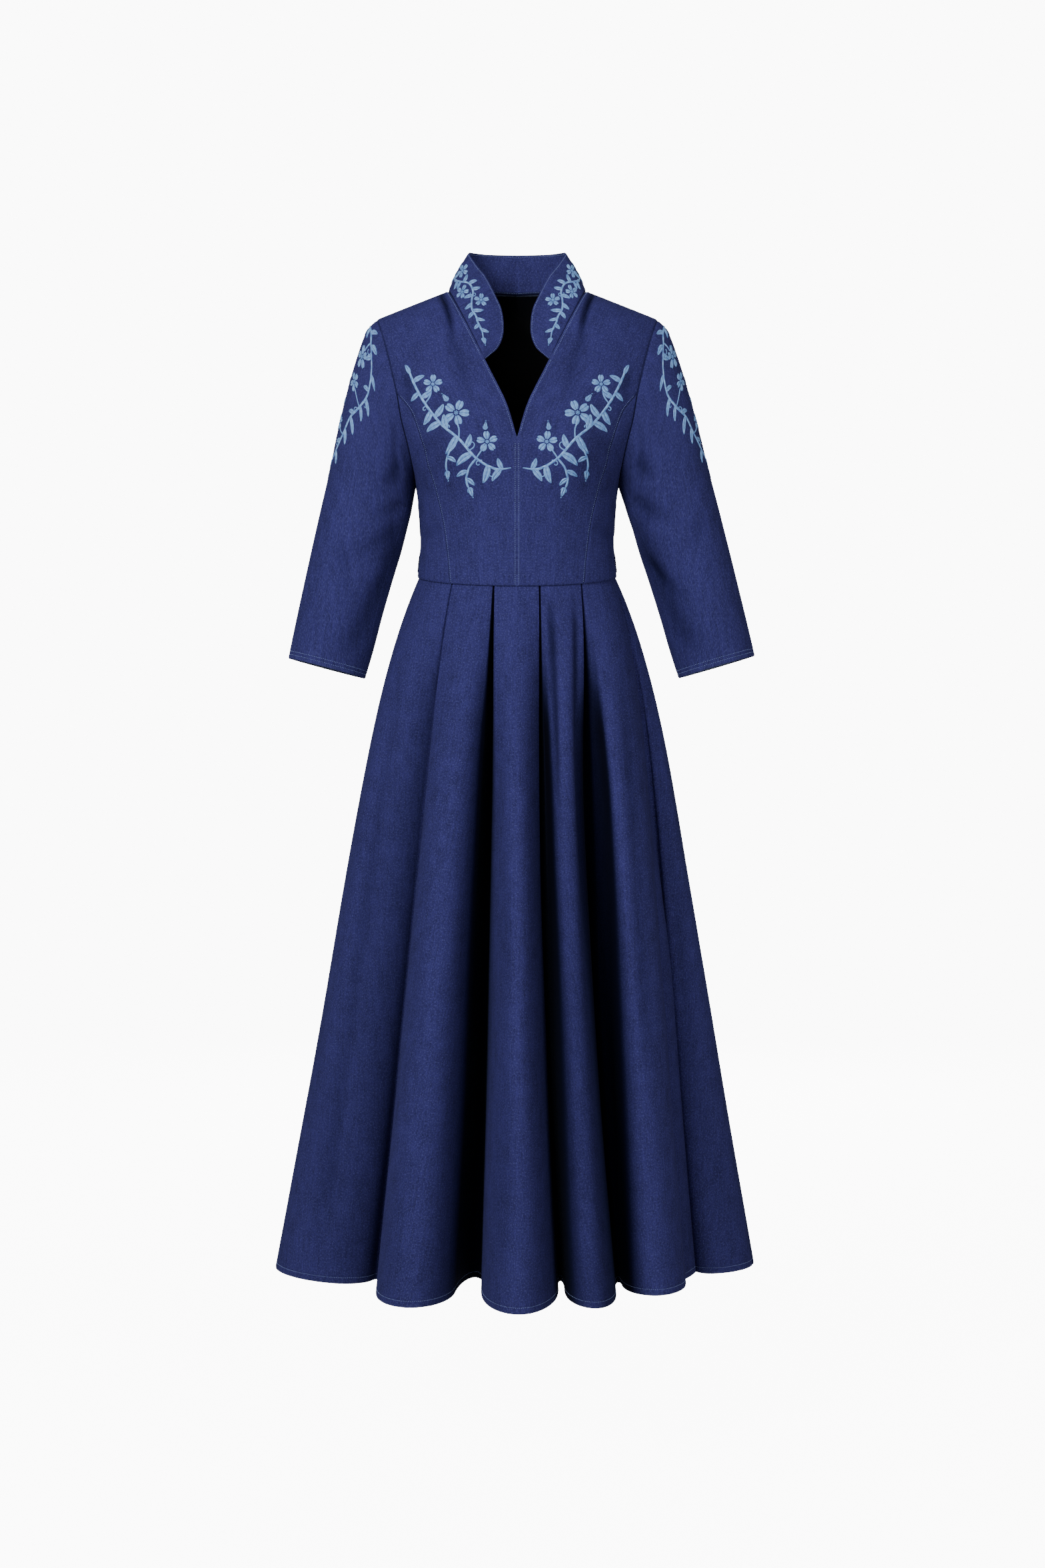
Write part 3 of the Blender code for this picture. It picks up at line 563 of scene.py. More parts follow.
def cloth(name, grid, thick, looks, way, wear, fold, mirrored=False):
    """A closed shell of cloth: the outer grid, the inner one and the rims between them."""
    inward = normals(grid) * way
    points = np.concatenate([grid, grid - inward * thick]).reshape(-1, 3)
    if mirrored:
        points = points * (-1, 1, 1)
    rows, columns = grid.shape[:2]
    index = np.arange(rows * columns).reshape(rows, columns)
    corners = (index[:-1, :-1], index[:-1, 1:], index[1:, 1:], index[1:, :-1])
    outer = np.stack(corners, -1).reshape(-1, 4)
    inner = outer[:, ::-1] + rows * columns
    border = np.concatenate([index[0, :-1], index[:-1, -1], index[-1, :0:-1], index[:0:-1, 0]])
    after = np.roll(border, -1)
    rim = np.stack([border, border + rows * columns, after + rows * columns, after], -1)
    mesh = bpy.data.meshes.new(name)
    mesh.from_pydata(points.tolist(), [], np.concatenate([outer, inner, rim]).tolist())
    shape = bmesh.new()
    shape.from_mesh(mesh)
    bmesh.ops.recalc_face_normals(shape, faces=shape.faces)
    shape.to_mesh(mesh)
    shape.free()
    away = distances(grid)
    across = away["left"] - away["left"][:, columns // 2][:, None]
    places = np.stack([across, away["low"]], -1).reshape(-1, 2)
    laid_out(mesh, np.concatenate([places, places]), looks)
    # wear is real rubbing at the edges; fold is painted shade in folds, creases, the armpit and along seams
    for label, values in (("wear", wear), ("fold", fold)):
        layer = mesh.attributes.new(label, "FLOAT", "POINT")
        both_faces = np.concatenate([values, values])
        layer.data.foreach_set("value", both_faces.astype(np.float32).ravel())
    kind = np.zeros(len(mesh.polygons), np.int32)
    kind[len(outer) : 2 * len(outer)] = len(looks) - 1
    mesh.polygons.foreach_set("material_index", kind)
    mesh.set_sharp_from_angle(angle=SHARP_ANGLE)
    piece = linked(name, mesh)
    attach(piece, "root")
    return piece


def cut_of(grid):
    """Width, length and area of the flat piece that a panel was cut as, in metres."""
    away = distances(grid)
    across = np.linalg.norm(np.diff(grid, axis=1), axis=2)
    up = np.linalg.norm(np.diff(grid, axis=0), axis=2)
    area = float(((across[:-1] + across[1:]) / 2 * (up[:, :-1] + up[:, 1:]) / 2).sum())
    width, length = float(away["left"][:, -1].max()), float(away["low"][-1].max())
    return width, length, min(area, width * length)


def stands_for(solid):
    """The piece takes its solid's place, which is hidden."""
    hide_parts(solid)


def panel(name, solid, grid, thick, looks, way, edges, mirrored, creases=()):
    """One cut piece of cloth that stands for its solid."""
    flat = cut_of(grid)
    grid = resampled(grid, graded(grid.shape[0] - 1), graded(grid.shape[1] - 1))
    # Painted shade in the creases' troughs
    trough = trough_shade(crease_rise(creases, grid[..., 0], grid[..., 2]))
    grid, wear, dark = finished(grid, way, edges)
    piece = cloth(name, grid, thick, looks, way, wear, np.maximum(dark, trough), mirrored)
    stands_for(solid)
    return grid


# Sewing thread


def traced(grid, way, edge, distance, start=0.0, end=0.0):
    """Points and normals of a line that runs along an edge of a panel, a distance in from it."""
    outward = normals(grid) * way
    if edge in ("low", "high"):
        grid, outward = grid.transpose(1, 0, 2), outward.transpose(1, 0, 2)
        edge = {"low": "left", "high": "right"}[edge]
    if edge == "right":
        grid, outward = grid[:, ::-1], outward[:, ::-1]
    away = distances(grid)["left"]
    points, ways = [], []
    for row, gaps in enumerate(away):
        place = np.interp(distance, gaps, np.arange(len(gaps)))
        low = min(int(place), len(gaps) - 2)
        share = place - low
        points.append(grid[row, low] * (1 - share) + grid[row, low + 1] * share)
        ways.append(outward[row, low] * (1 - share) + outward[row, low + 1] * share)
    points, ways = np.array(points), unit(np.array(ways))
    run = run_along(points)
    keep = (run >= start) & (run <= run[-1] - end)
    return points[keep], ways[keep]


# A stitch's sections: place along it, thickness and height over the cloth, as shares
STITCH_LENGTH, STITCH_PITCH, STITCH_WIDTH, STITCH_SIDES = 1.25 * MM, 2.6 * MM, 0.78 * MM, 5
STITCH_SECTIONS = (
    (-0.5, 0.25, -0.25), (-0.36, 0.85, 0.12), (0.0, 1.0, 0.22), (0.36, 0.85, 0.12), (0.5, 0.25, -0.25),
)
STITCH_FLATNESS = 0.8


def on_run(values, run, at):
    """Values of a line's points, read at a distance along it."""
    return np.array([np.interp(at, run, values[:, axis]) for axis in range(3)])


def stitch(points, ways, run, at):
    """The corners of one stitch, ring by ring, and their places on the thread."""
    along = unit(on_run(points, run, at + 0.5 * MM) - on_run(points, run, at - 0.5 * MM))
    out = on_run(ways, run, at)
    out = unit(out - along * (out @ along))
    side = np.cross(along, out)
    corners, places = [], []
    for share, fat, lift in STITCH_SECTIONS:
        middle = on_run(points, run, at) + along * share * STITCH_LENGTH + out * lift * STITCH_WIDTH
        for turn in np.arange(STITCH_SIDES) * 2 * math.pi / STITCH_SIDES:
            round_it = side * math.cos(turn) + out * math.sin(turn) * STITCH_FLATNESS
            corners.append(middle + round_it * fat * STITCH_WIDTH / 2)
            places.append(((share + 0.5) * STITCH_LENGTH, turn / (2 * math.pi) * STITCH_WIDTH))
    return corners, places


def stitching(name, lines, mirrored=(False,)):
    """Rows of lockstitch laid on the cloth, each stitch a short rounded length of thread."""
    verts, faces, places = [], [], []
    last_ring = STITCH_SIDES * (len(STITCH_SECTIONS) - 1)
    for points, ways in lines:
        run = run_along(points)
        count = int(run[-1] / STITCH_PITCH)
        for number in range(count):
            first = len(verts)
            corners, laid_at = stitch(points, ways, run, (number + 0.5) * run[-1] / count)
            verts.extend(corners)
            places.extend(laid_at)
            for ring in range(0, last_ring, STITCH_SIDES):
                for step in range(STITCH_SIDES):
                    a = first + ring + step
                    b = first + ring + (step + 1) % STITCH_SIDES
                    faces.append((a, b, b + STITCH_SIDES, a + STITCH_SIDES))
            faces.append(tuple(first + step for step in reversed(range(STITCH_SIDES))))
            faces.append(tuple(first + last_ring + step for step in range(STITCH_SIDES)))
    thread_piece(name, verts, faces, places, TOPSTITCH, mirrored)


def thread_piece(name, verts, faces, places, look, mirrored):
    """Thread as one mesh, on one side or on both."""
    points = np.array(verts)
    copies = [points * (-1, 1, 1) if flip else points for flip in mirrored]
    all_faces = []
    for copy, flip in enumerate(mirrored):
        for face in faces:
            moved = [corner + copy * len(points) for corner in face]
            all_faces.append(moved[::-1] if flip else moved)
    mesh = bpy.data.meshes.new(name)
    mesh.from_pydata(np.concatenate(copies).tolist(), [], all_faces)
    laid_out(mesh, np.tile(np.array(places), (len(copies), 1)), (look,))
    piece = linked(name, mesh)
    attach(piece, "root")


# Satin-stitch embroidery: sprays of leaves, five-petal flowers and tendrils


STEM_WEIGHT, LEAF_LENGTH, LEAF_WIDTH, FLOWER_SIZE, PETALS = 1.35, 1.08, 1.3, 1.15, 5
# A stroke's section: places across it and heights, as shares, and the width in mm from which
# it has its full height
ACROSS_STROKE = np.array((-0.5, -0.34, 0.0, 0.34, 0.5))
STROKE_LIFT = np.array((-0.1, 0.72, 1.0, 0.72, -0.1))
FULL_WIDTH, STROKE_CLEARANCE = 2.2, 0.08


def towards(turn):
    return np.stack([np.cos(turn), np.sin(turn)], -1)


def left_of(ahead):
    return np.stack([-ahead[..., 1], ahead[..., 0]], -1)


def walk(base, steps):
    """A line that sets out from base and takes these steps."""
    return np.array(base, float) + np.concatenate([[(0, 0)], np.cumsum(steps, axis=0)[:-1]])


class Spray:
    """Satin strokes laid out on a flat drawing, in mm, then placed on the cloth."""

    def __init__(self, place):
        self.place = place
        self.verts, self.faces, self.places = [], [], []

    def stroke(self, line, widths, height=0.75):
        """A raised band of thread along a line of (across, up) points."""
        line = np.asarray(line, float)
        side = left_of(unit(np.gradient(line, axis=0)))
        widths = np.broadcast_to(np.asarray(widths, float), len(line))
        across = ACROSS_STROKE[None, :] * widths[:, None]
        flat = (line[:, None] + side[:, None] * across[..., None]).reshape(-1, 2)
        points, ways = self.place(flat[:, 0] * MM, flat[:, 1] * MM)
        tall = height * np.minimum(1.0, widths / FULL_WIDTH)
        lift = (STROKE_CLEARANCE + STROKE_LIFT[None, :] * tall[:, None]).reshape(-1, 1) * MM
        first, wide = len(self.verts), len(ACROSS_STROKE)
        self.verts.extend(points + ways * lift)
        self.places.extend(np.stack([np.repeat(run_along(line), wide), across.ravel()], 1) * MM)
        for row in range(len(line) - 1):
            for step in range(wide - 1):
                a = first + row * wide + step
                self.faces.append((a, a + wide, a + wide + 1, a + 1))

    def stem(self, knots, width, taper=(0.35, 0.35)):
        """A smooth stroke through a few knots that thins towards its ends."""
        knots = np.array(knots, float)
        at = np.linspace(0, len(knots) - 1, 10 * (len(knots) - 1) + 1)
        line = np.stack([smooth(knots[:, 0], at), smooth(knots[:, 1], at)], 1)
        share = np.linspace(0, 1, len(line))
        ends = np.minimum(1, np.minimum(taper[0] + share * 6, taper[1] + (1 - share) * 6))
        self.stroke(line, width * STEM_WEIGHT * ends)

    def halves(self, line, side, half, apart, height):
        """Two strokes side by side, which meet along the line."""
        for way in (-1, 1):
            self.stroke(line + side * (way * (half / 2 + apart))[:, None], half, height)

    def leaf(self, base, angle, length, width, bend=0.0):
        """Two satin halves that meet at the vein."""
        length, width = length * LEAF_LENGTH, width * LEAF_WIDTH
        share = np.linspace(0, 1, 11)
        ahead = towards(math.radians(angle) + math.radians(bend) * (share - 0.3))
        line = walk(base, ahead * length / 10)
        half = width / 2 * np.sin(np.pi * np.minimum(1, share * 0.93 + 0.07)) ** 0.75 * (1 - 0.25 * share)
        self.halves(line, left_of(ahead), half, 0.16, 0.65)

    def flower(self, centre, radius, turn=0.0):
        centre, radius = np.array(centre, float), radius * FLOWER_SIZE
        share = np.linspace(0, 1, 9)
        half = radius * 0.33 * np.sin(np.pi * (0.12 + 0.80 * share)) ** 0.7 * (0.62 + 0.5 * share)
        for petal in range(PETALS):
            ahead = towards(math.radians(turn + petal * 360 / PETALS))
            line = centre + ahead * (radius * (0.26 + 0.74 * share))[:, None]
            self.halves(line, left_of(ahead), half, 0.14, 0.7)
        for knot in range(6):
            self.knot(centre + 0.13 * radius * towards(math.radians(knot * 60 + turn)), 1.0)
        self.knot(centre, 1.2)

    def knot(self, centre, size):
        share = np.linspace(-1, 1, 5)
        line = np.array(centre, float) + np.stack([share * size, 0 * share], 1)
        self.stroke(line, 2.1 * size * np.sqrt(np.maximum(0.05, 1 - share * share)), 1.0)

    def tendril(self, base, angle, length, curl, width=1.9):
        """A thin thread line that winds up towards its end."""
        share = np.linspace(0, 1, 25)
        ahead = towards(math.radians(angle) + math.radians(curl) * share**1.6)
        line = walk(base, ahead * length / 24 * (1 - 0.45 * share)[:, None])
        self.stroke(line, width * (1 - 0.35 * share))
        self.knot(line[-1], 0.9)

    def bud(self, base, angle, length):
        self.leaf(base, angle, length, length * 0.42)
        for way in (-1, 1):
            self.leaf(base, angle + way * 38, length * 0.55, length * 0.2, way * -40)
        self.knot(np.array(base) + towards(math.radians(angle)) * (length + 2.2), 0.9)

    def finish(self, name, mirrored):
        thread_piece(name, self.verts, self.faces, self.places, SATIN, mirrored)


def with_normals(surface, u, v, way, step=0.4 * MM):
    """Points of a surface and the way out from it."""
    across = surface(u + step, v) - surface(u - step, v)
    along = surface(u, v + step) - surface(u, v - step)
    return surface(u, v), unit(np.cross(across, along)) * way


# Materials


def node(tree, kind, inputs=None, **settings):
    """A node with its settings; its inputs are linked to sockets or set to values."""
    item = tree.nodes.new("ShaderNode" + kind)
    for name, value in settings.items():
        setattr(item, name, value)
    for name, value in (inputs or {}).items():
        if isinstance(value, bpy.types.NodeSocket):
            tree.links.new(value, item.inputs[name])
        else:
            item.inputs[name].default_value = value
    return item


def group(name, inputs, outputs):
    """A node group with named inputs (kind and first value) and outputs (kind)."""
    tree = bpy.data.node_groups.new(name, "ShaderNodeTree")
    for label, (kind, value) in inputs.items():
        socket = tree.interface.new_socket(name=label, in_out="INPUT", socket_type="NodeSocket" + kind)
        if value is not None:
            socket.default_value = value
    for label, kind in outputs.items():
        tree.interface.new_socket(name=label, in_out="OUTPUT", socket_type="NodeSocket" + kind)
    return tree, tree.nodes.new("NodeGroupInput").outputs, tree.nodes.new("NodeGroupOutput").inputs


def scaled(tree, places, across, along, turn=0.0):
    given = {"Vector": places, "Scale": (across, along, 1), "Rotation": (0, 0, turn)}
    return node(tree, "Mapping", given, vector_type="POINT").outputs["Vector"]


def mixed(tree, factor, a, b):
    """The colours a and b, mixed."""
    given = {0: factor, 6: a, 7: b}
    return node(tree, "Mix", given, data_type="RGBA", clamp_factor=True).outputs[2]


def times(tree, a, b):
    return node(tree, "Math", {0: a, 1: b}, operation="MULTIPLY").outputs[0]


def ranged(tree, value, low, high, first=0.0, last=1.0):
    """The value's stretch from low to high, spread from first to last."""
    ends = {"From Min": low, "From Max": high, "To Min": first, "To Max": last}
    return node(tree, "MapRange", {"Value": value, **ends}).outputs["Result"]


def sum_of(tree, *parts):
    """Each part is a socket and what it counts for, added up around 0.5."""
    total = 0.5
    for socket, share in parts:
        centred = node(tree, "Math", {0: socket, 1: 0.5}, operation="SUBTRACT").outputs[0]
        total = node(tree, "Math", {0: centred, 1: share, 2: total}, operation="MULTIPLY_ADD").outputs[0]
    return total


def noise(tree, places, scale, detail=2.0, rough=0.5):
    given = {"Vector": places, "Scale": scale, "Detail": detail, "Roughness": rough}
    return node(tree, "TexNoise", given, noise_dimensions="2D").outputs["Fac"]


def ribs(tree, places, scale, distortion, detail_scale=1.0):
    given = {"Vector": places, "Scale": scale, "Distortion": distortion, "Detail": 1.0}
    given["Detail Scale"] = detail_scale
    return node(tree, "TexWave", given, wave_type="BANDS", bands_direction="X").outputs["Fac"]


# Painted shade colours: the cloth darkens towards the first in folds, creases, the armpit and seam lines, and
# towards the second deepest in the dips
FOLD_SHADE = (0.0012, 0.0022, 0.0150, 1)
DEEPEST_SHADE = (0.0004, 0.0006, 0.003, 1)
TWILL_SLANT, THREAD_SLANT = math.radians(-27), math.radians(24)


def denim_group():
    """Indigo twill: uneven warp and weft yarns, dye clouds, the twill line and worn edges, with the painted
    shade of the Fold input mixed over them.
    """
    tree, given, out = group(
        "denim_twill",
        {
            "Places": ("Vector", None), "Wear": ("Float", 0.0), "Fold": ("Float", 0.0),
            "Deep": ("Color", (0, 0, 0, 1)), "Pale": ("Color", (1, 1, 1, 1)),
            "Bare": ("Color", (1, 1, 1, 1)),
        },
        {"Colour": "Color", "Roughness": "Float", "Height": "Float"},
    )
    places = given["Places"]
    warp = noise(tree, scaled(tree, places, 760, 240), 1.0, 2.0, 0.6)
    weft = noise(tree, scaled(tree, places, 240, 760), 1.0, 2.0, 0.6)
    slub = noise(tree, scaled(tree, places, 330, 24), 1.0, 1.5)
    grain = noise(tree, places, 1000, 1.0)
    mottle = noise(tree, places, 300, 2.0, 0.6)
    cloud = noise(tree, places, 48, 2.0, 0.5)
    dye = noise(tree, scaled(tree, places, 12, 7), 1.0, 2.0)
    twill = ribs(tree, scaled(tree, places, 1000, 1000, TWILL_SLANT), 0.33, 0.6, 0.4)
    tone = sum_of(
        tree, (warp, 0.5), (weft, 0.45), (slub, 0.46), (grain, 0.7),
        (mottle, 0.5), (cloud, 0.42), (dye, 0.26), (twill, 0.10),
    )
    colour = mixed(tree, tone, given["Deep"], given["Pale"])
    fleck = ranged(tree, noise(tree, scaled(tree, places, 640, 430), 1.0, 1.0), 0.52, 0.80)
    colour = mixed(tree, times(tree, fleck, 0.36), colour, given["Bare"])
    rub = times(tree, given["Wear"], sum_of(tree, (warp, 1.8), (grain, 1.8), (slub, 1.0)))
    colour = mixed(tree, times(tree, rub, 0.75), colour, given["Bare"])
    # Painted shade: the fold attribute mixes the colour towards dark navy and, deepest in the dips, near
    # black
    shaded = mixed(tree, given["Fold"], colour, FOLD_SHADE)
    colour = mixed(tree, ranged(tree, given["Fold"], 0.62, 1.0), shaded, DEEPEST_SHADE)
    height = sum_of(tree, (twill, 0.5), (warp, 0.6), (weft, 0.5), (grain, 0.5), (cloud, 0.6))
    tree.links.new(colour, out["Colour"])
    tree.links.new(ranged(tree, tone, 0.0, 1.0, 0.92, 0.78), out["Roughness"])
    tree.links.new(height, out["Height"])
    return tree


def shader_of(name, roughness, sheen=0.0, specular=0.3, sheen_tint=(1.0, 1.0, 1.0)):
    material = bpy.data.materials.new(name)
    material.use_nodes = True
    shader = material.node_tree.nodes["Principled BSDF"]
    shader.inputs["Roughness"].default_value = roughness
    shader.inputs["Sheen Weight"].default_value = sheen
    shader.inputs["Sheen Roughness"].default_value = 0.45
    shader.inputs["Sheen Tint"].default_value = (*sheen_tint, 1)
    shader.inputs["Specular IOR Level"].default_value = specular
    return material, material.node_tree, shader


def cloth_places(tree):
    return node(tree, "UVMap", uv_map="cloth").outputs["UV"]


def painted(tree, name):
    return node(tree, "Attribute", attribute_name=name, attribute_type="GEOMETRY").outputs["Fac"]


def embossed(tree, shader, height, strength, depth):
    bump = node(tree, "Bump", {"Strength": strength, "Distance": depth, "Height": height})
    tree.links.new(bump.outputs["Normal"], shader.inputs["Normal"])


def denim_material(name, twill, deep, pale, bare, sheen):
    material, tree, shader = shader_of(name, 0.85, sheen, 0.05, (0.5, 0.6, 1.0))
    # The fold attribute is painted shade: the skirt's dips and flanks, crease troughs, the armpit and seam
    # lines
    given = {"Places": cloth_places(tree), "Wear": painted(tree, "wear"), "Fold": painted(tree, "fold")}
    given.update({"Deep": (*deep, 1), "Pale": (*pale, 1), "Bare": (*bare, 1)})
    woven = node(tree, "Group", given, node_tree=twill).outputs
    tree.links.new(woven["Colour"], shader.inputs["Base Color"])
    tree.links.new(woven["Roughness"], shader.inputs["Roughness"])
    embossed(tree, shader, woven["Height"], 0.4, 0.3 * MM)
    return material


def thread_group():
    """Twisted thread laid side by side: fine ribs, and a painted highlight that shifts along the stroke."""
    tree, given, out = group(
        "laid_thread",
        {
            "Places": ("Vector", None), "Rib": ("Float", 1.0),
            "Deep": ("Color", (0, 0, 0, 1)), "Pale": ("Color", (1, 1, 1, 1)),
        },
        {"Colour": "Color", "Height": "Float"},
    )
    places = given["Places"]
    strands = ribs(tree, scaled(tree, places, 1000, 1000, THREAD_SLANT), given["Rib"], 0.8)
    # Painted highlight: a noise that mixes the thread from its deep colour to its pale one along the stroke
    painted_shine = noise(tree, scaled(tree, places, 170, 420), 1.0, 2.0)
    tone = sum_of(tree, (strands, 0.5), (painted_shine, 2.2))
    tree.links.new(mixed(tree, tone, given["Deep"], given["Pale"]), out["Colour"])
    tree.links.new(strands, out["Height"])
    return tree


def thread_material(name, laid, rib, deep, pale, roughness, depth):
    material, tree, shader = shader_of(name, roughness, 0.25, 0.5, (0.7, 0.85, 1.0))
    given = {"Places": cloth_places(tree), "Rib": rib, "Deep": (*deep, 1), "Pale": (*pale, 1)}
    strand = node(tree, "Group", given, node_tree=laid).outputs
    tree.links.new(strand["Colour"], shader.inputs["Base Color"])
    embossed(tree, shader, strand["Height"], 0.7, depth)
    return material


def lining_material():
    material, tree, shader = shader_of("black_lining", 0.65, 0.0, 0.1)
    places = cloth_places(tree)
    weave = noise(tree, scaled(tree, places, 900, 300), 1.0, 1.0)
    black = mixed(tree, weave, (0.0006, 0.0007, 0.0016, 1), (0.0022, 0.0026, 0.0055, 1))
    tree.links.new(black, shader.inputs["Base Color"])
    embossed(tree, shader, noise(tree, scaled(tree, places, 30, 12), 1.0, 2.0), 0.3, 0.2 * MM)
    return material


twill = denim_group()
laid = thread_group()
DENIM = denim_material(
    "indigo_denim", twill, (0.0120, 0.0122, 0.0475), (0.0365, 0.0352, 0.1600), (0.096, 0.104, 0.285), 0.02,
)
REVERSE = denim_material(
    "denim_reverse", twill, (0.045, 0.058, 0.120), (0.150, 0.180, 0.300), (0.26, 0.30, 0.42), 0.1,
)
LINING = lining_material()
SATIN = thread_material(
    "satin_stitch_thread", laid, 0.62, (0.045, 0.145, 0.450), (0.260, 0.490, 0.840), 0.38, 0.12 * MM,
)
TOPSTITCH = thread_material(
    "topstitch_thread", laid, 0.85, (0.100, 0.135, 0.310), (0.210, 0.275, 0.520), 0.55, 0.08 * MM,
)
OUTSIDE = (DENIM, REVERSE)


# Bodice

FRONT_EDGES = {"left": TURNED, "right": SEAM, "low": LAPPED, "high": SEAM}
SIDE_EDGES = {"left": SEAM, "right": UNDERARM_SEAM, "low": LAPPED}
BACK_EDGES = {**SIDE_EDGES, "high": SEAM}
BODICE = (  # part, its grid, which way is out, its edges, its creases, and what it hangs from
    ("front", front_grid(), 1, FRONT_EDGES, FRONT_CREASES, "back"),
    ("side_front", side_front_grid(), 1, SIDE_EDGES, FRONT_CREASES, "front"),
    ("back", back_grid(0.0, 0.0), -1, BACK_EDGES, BACK_CREASES, "front"),
)
BODICE_LINING = (
    ("front", lining_front_grid(LINING_FOOT), 1),
    ("back", back_grid(LINING_FOOT, LINING_MARGIN, LINING_NECK), -1),
)
sewn = {}
for side, mirrored in SIDES:
    for part, grid, way, edges, creases, carrier in BODICE:
        sewn[part] = panel(
            f"{part}_panel_{side}", f"{part}_{side}", grid, DENIM_WALL, OUTSIDE,
            way, edges, mirrored, creases,
        )
    for part, grid, way in BODICE_LINING:
        grid = grid - normals(grid) * (way * (DENIM_WALL + LINING_GAP))
        panel(
            f"lining_{part}_piece_{side}", f"lining_{part}_{side}", grid, LINING_WALL, (LINING,),
            way, {}, mirrored,
        )

FRONT_NECK_ROW = CENTRE_STEPS + V_STEPS
front, back = sewn["front"], sewn["back"]
front_rows = graded(CENTRE_STEPS + V_STEPS + NECK_STEPS)
v_row, neck_row, princess_row = front_rows.searchsorted(
    (CENTRE_STEPS, FRONT_NECK_ROW, SIDE_STEPS + ARMHOLE_STEPS)
)
bodice_rows = [
    traced(front[: v_row + 1], 1, "left", CENTRE_ROW, 1 * MM, 1 * MM),
    traced(front[v_row : neck_row + 1], 1, "left", NECK_ROW, 2 * MM, 1 * MM),
    traced(front[neck_row:], 1, "left", NECK_ROW, 1 * MM, 2 * MM),
    traced(front[: princess_row + 1], 1, "right", PRINCESS_ROW, 2 * MM, 2 * MM),
    traced(back, -1, "left", CENTRE_ROW, 1 * MM, 2 * MM),
]


# Collar


def on_line(points, axis, at):
    """Points of a seam where one of its coordinates has these values."""
    order = np.argsort(points[:, axis])
    return np.stack([np.interp(at, points[order, axis], points[order, other]) for other in range(3)], -1)


back_neck = back_grid(0.0, 0.0)[-1, : SHOULDER_STATION * COLLAR_FINE + 1]
front_neck = front_grid()[FRONT_NECK_ROW:, 0]
LAST_STATION = len(COLLAR["seam_x"]) - 1
COLLAR_BOW = 0.035  # the collar's roundness as a share of its width
SEAM_CLEARANCE = 0.012  # where the collar begins over the neck seam, as a share of its width
# Towards the tip the collar reaches less far under the bodice
TIP_STATION, TIP_LENGTH, TIP_DRAW = 11.2, 1.2, 2.2
# The row inside the neck ends a little past the shoulder seam
INSIDE_COLUMNS = SHOULDER_STATION * COLLAR_FINE + 8


def collar_point(station, share):
    """The collar's outer face: share runs from the neck seam to the free edge."""
    station, share = np.broadcast_arrays(np.asarray(station, float), np.asarray(share, float))
    at_back = on_line(back_neck, 0, smooth(COLLAR["seam_x"], station))
    at_front = on_line(front_neck, 2, smooth(COLLAR["seam_z"], station))
    seam = np.where((station <= SHOULDER_STATION)[..., None], at_back, at_front)
    free = np.stack([smooth(COLLAR[column], station) for column in ("edge_x", "edge_y", "edge_z")], -1)
    width = np.linalg.norm(free - seam, axis=-1, keepdims=True)
    bow = np.sin(np.pi * share)[..., None] * COLLAR_BOW * width
    out = unit(np.stack([seam[..., 0] * 0.9, seam[..., 1] - 12 * MM, 0.35 * width[..., 0]], -1))
    return seam + (free - seam) * share[..., None] + out * bow


stations = np.linspace(0, LAST_STATION, LAST_STATION * COLLAR_FINE + 1)
collar_grid = collar_point(stations[None, :], np.linspace(SEAM_CLEARANCE, 1, COLLAR_ROWS)[:, None])
near_tip = eased((graded(len(stations) - 1) / COLLAR_FINE - TIP_STATION) / TIP_LENGTH)
collar_seam = COLLAR_SEAM._replace(under=COLLAR_SEAM.under - TIP_DRAW * near_tip)
for side, mirrored in SIDES:
    collar = panel(
        f"collar_half_{side}", f"collar_{side}", collar_grid, COLLAR_WALL, (DENIM, DENIM),
        -1,
        {"low": collar_seam, "high": TURNED, "right": TURNED}, mirrored,
    )
inside = collar + normals(collar) * COLLAR_WALL
collar_rows = [
    traced(collar, -1, "high", COLLAR_EDGE_ROW, 1 * MM),
    traced(inside, 1, "high", COLLAR_EDGE_ROW, 1 * MM),
    traced(inside[:, :INSIDE_COLUMNS], 1, "low", COLLAR_SEAM_ROW, 1 * MM),
]


# Sleeves

SLEEVE_DROP = run_along(np.stack([SLEEVE["outer_x"], SLEEVE["outer_z"]], 1))


def sleeve_ellipse(ring, turn):
    """The sleeve's rings as they would be with no armhole to be sewn to."""
    top = np.stack([smooth(SLEEVE["outer_x"], ring), 0 * ring, smooth(SLEEVE["outer_z"], ring)], -1)
    under = np.stack([smooth(SLEEVE["inner_x"], ring), 0 * ring, smooth(SLEEVE["inner_z"], ring)], -1)
    depth = np.where(turn <= math.pi, -smooth(SLEEVE["front"], ring), smooth(SLEEVE["back"], ring))
    point = (top + under) / 2 + (top - under) / 2 * np.cos(turn)[..., None]
    point[..., 1] = depth * np.abs(np.sin(turn))
    return point


def sleeve_point(side, ring, turn):
    """The sleeve's outer face; turn runs from the shoulder round the front, and on."""
    ring, turn = np.broadcast_arrays(np.asarray(ring, float), np.asarray(turn, float))
    turn = np.mod(turn, 2 * math.pi)
    z = armhole_z(turn)
    x = armhole_x(z)
    y = np.where(turn <= math.pi, bodice_y(x, z, "front"), bodice_y(x, z, "back"))
    seam = np.stack([x, y, z], -1)
    draw = np.maximum(0.0, 1 - ring / SLEEVE_BLEND)[..., None]
    point = sleeve_ellipse(ring, turn) + (seam - sleeve_ellipse(0 * ring, turn)) * draw
    swing = SLEEVE_SWING[side] * (1 - draw[..., 0])
    top = shoulder_line(SHOULDER_HALF)
    across, drop = point[..., 0] - SHOULDER_HALF, point[..., 2] - top
    point[..., 0] = SHOULDER_HALF + across * np.cos(swing) - drop * np.sin(swing)
    point[..., 2] = top + across * np.sin(swing) + drop * np.cos(swing)
    return point


# The sleeve's turned-up hem: its height, how much thicker it is, how softly that begins, and
# how far each row of stitches pulls it in
HEM_BAND, HEM_EXTRA, HEM_EASE, HEM_PULL = 17 * MM, 0.9 * MM, 1.5 * MM, 0.3 * MM
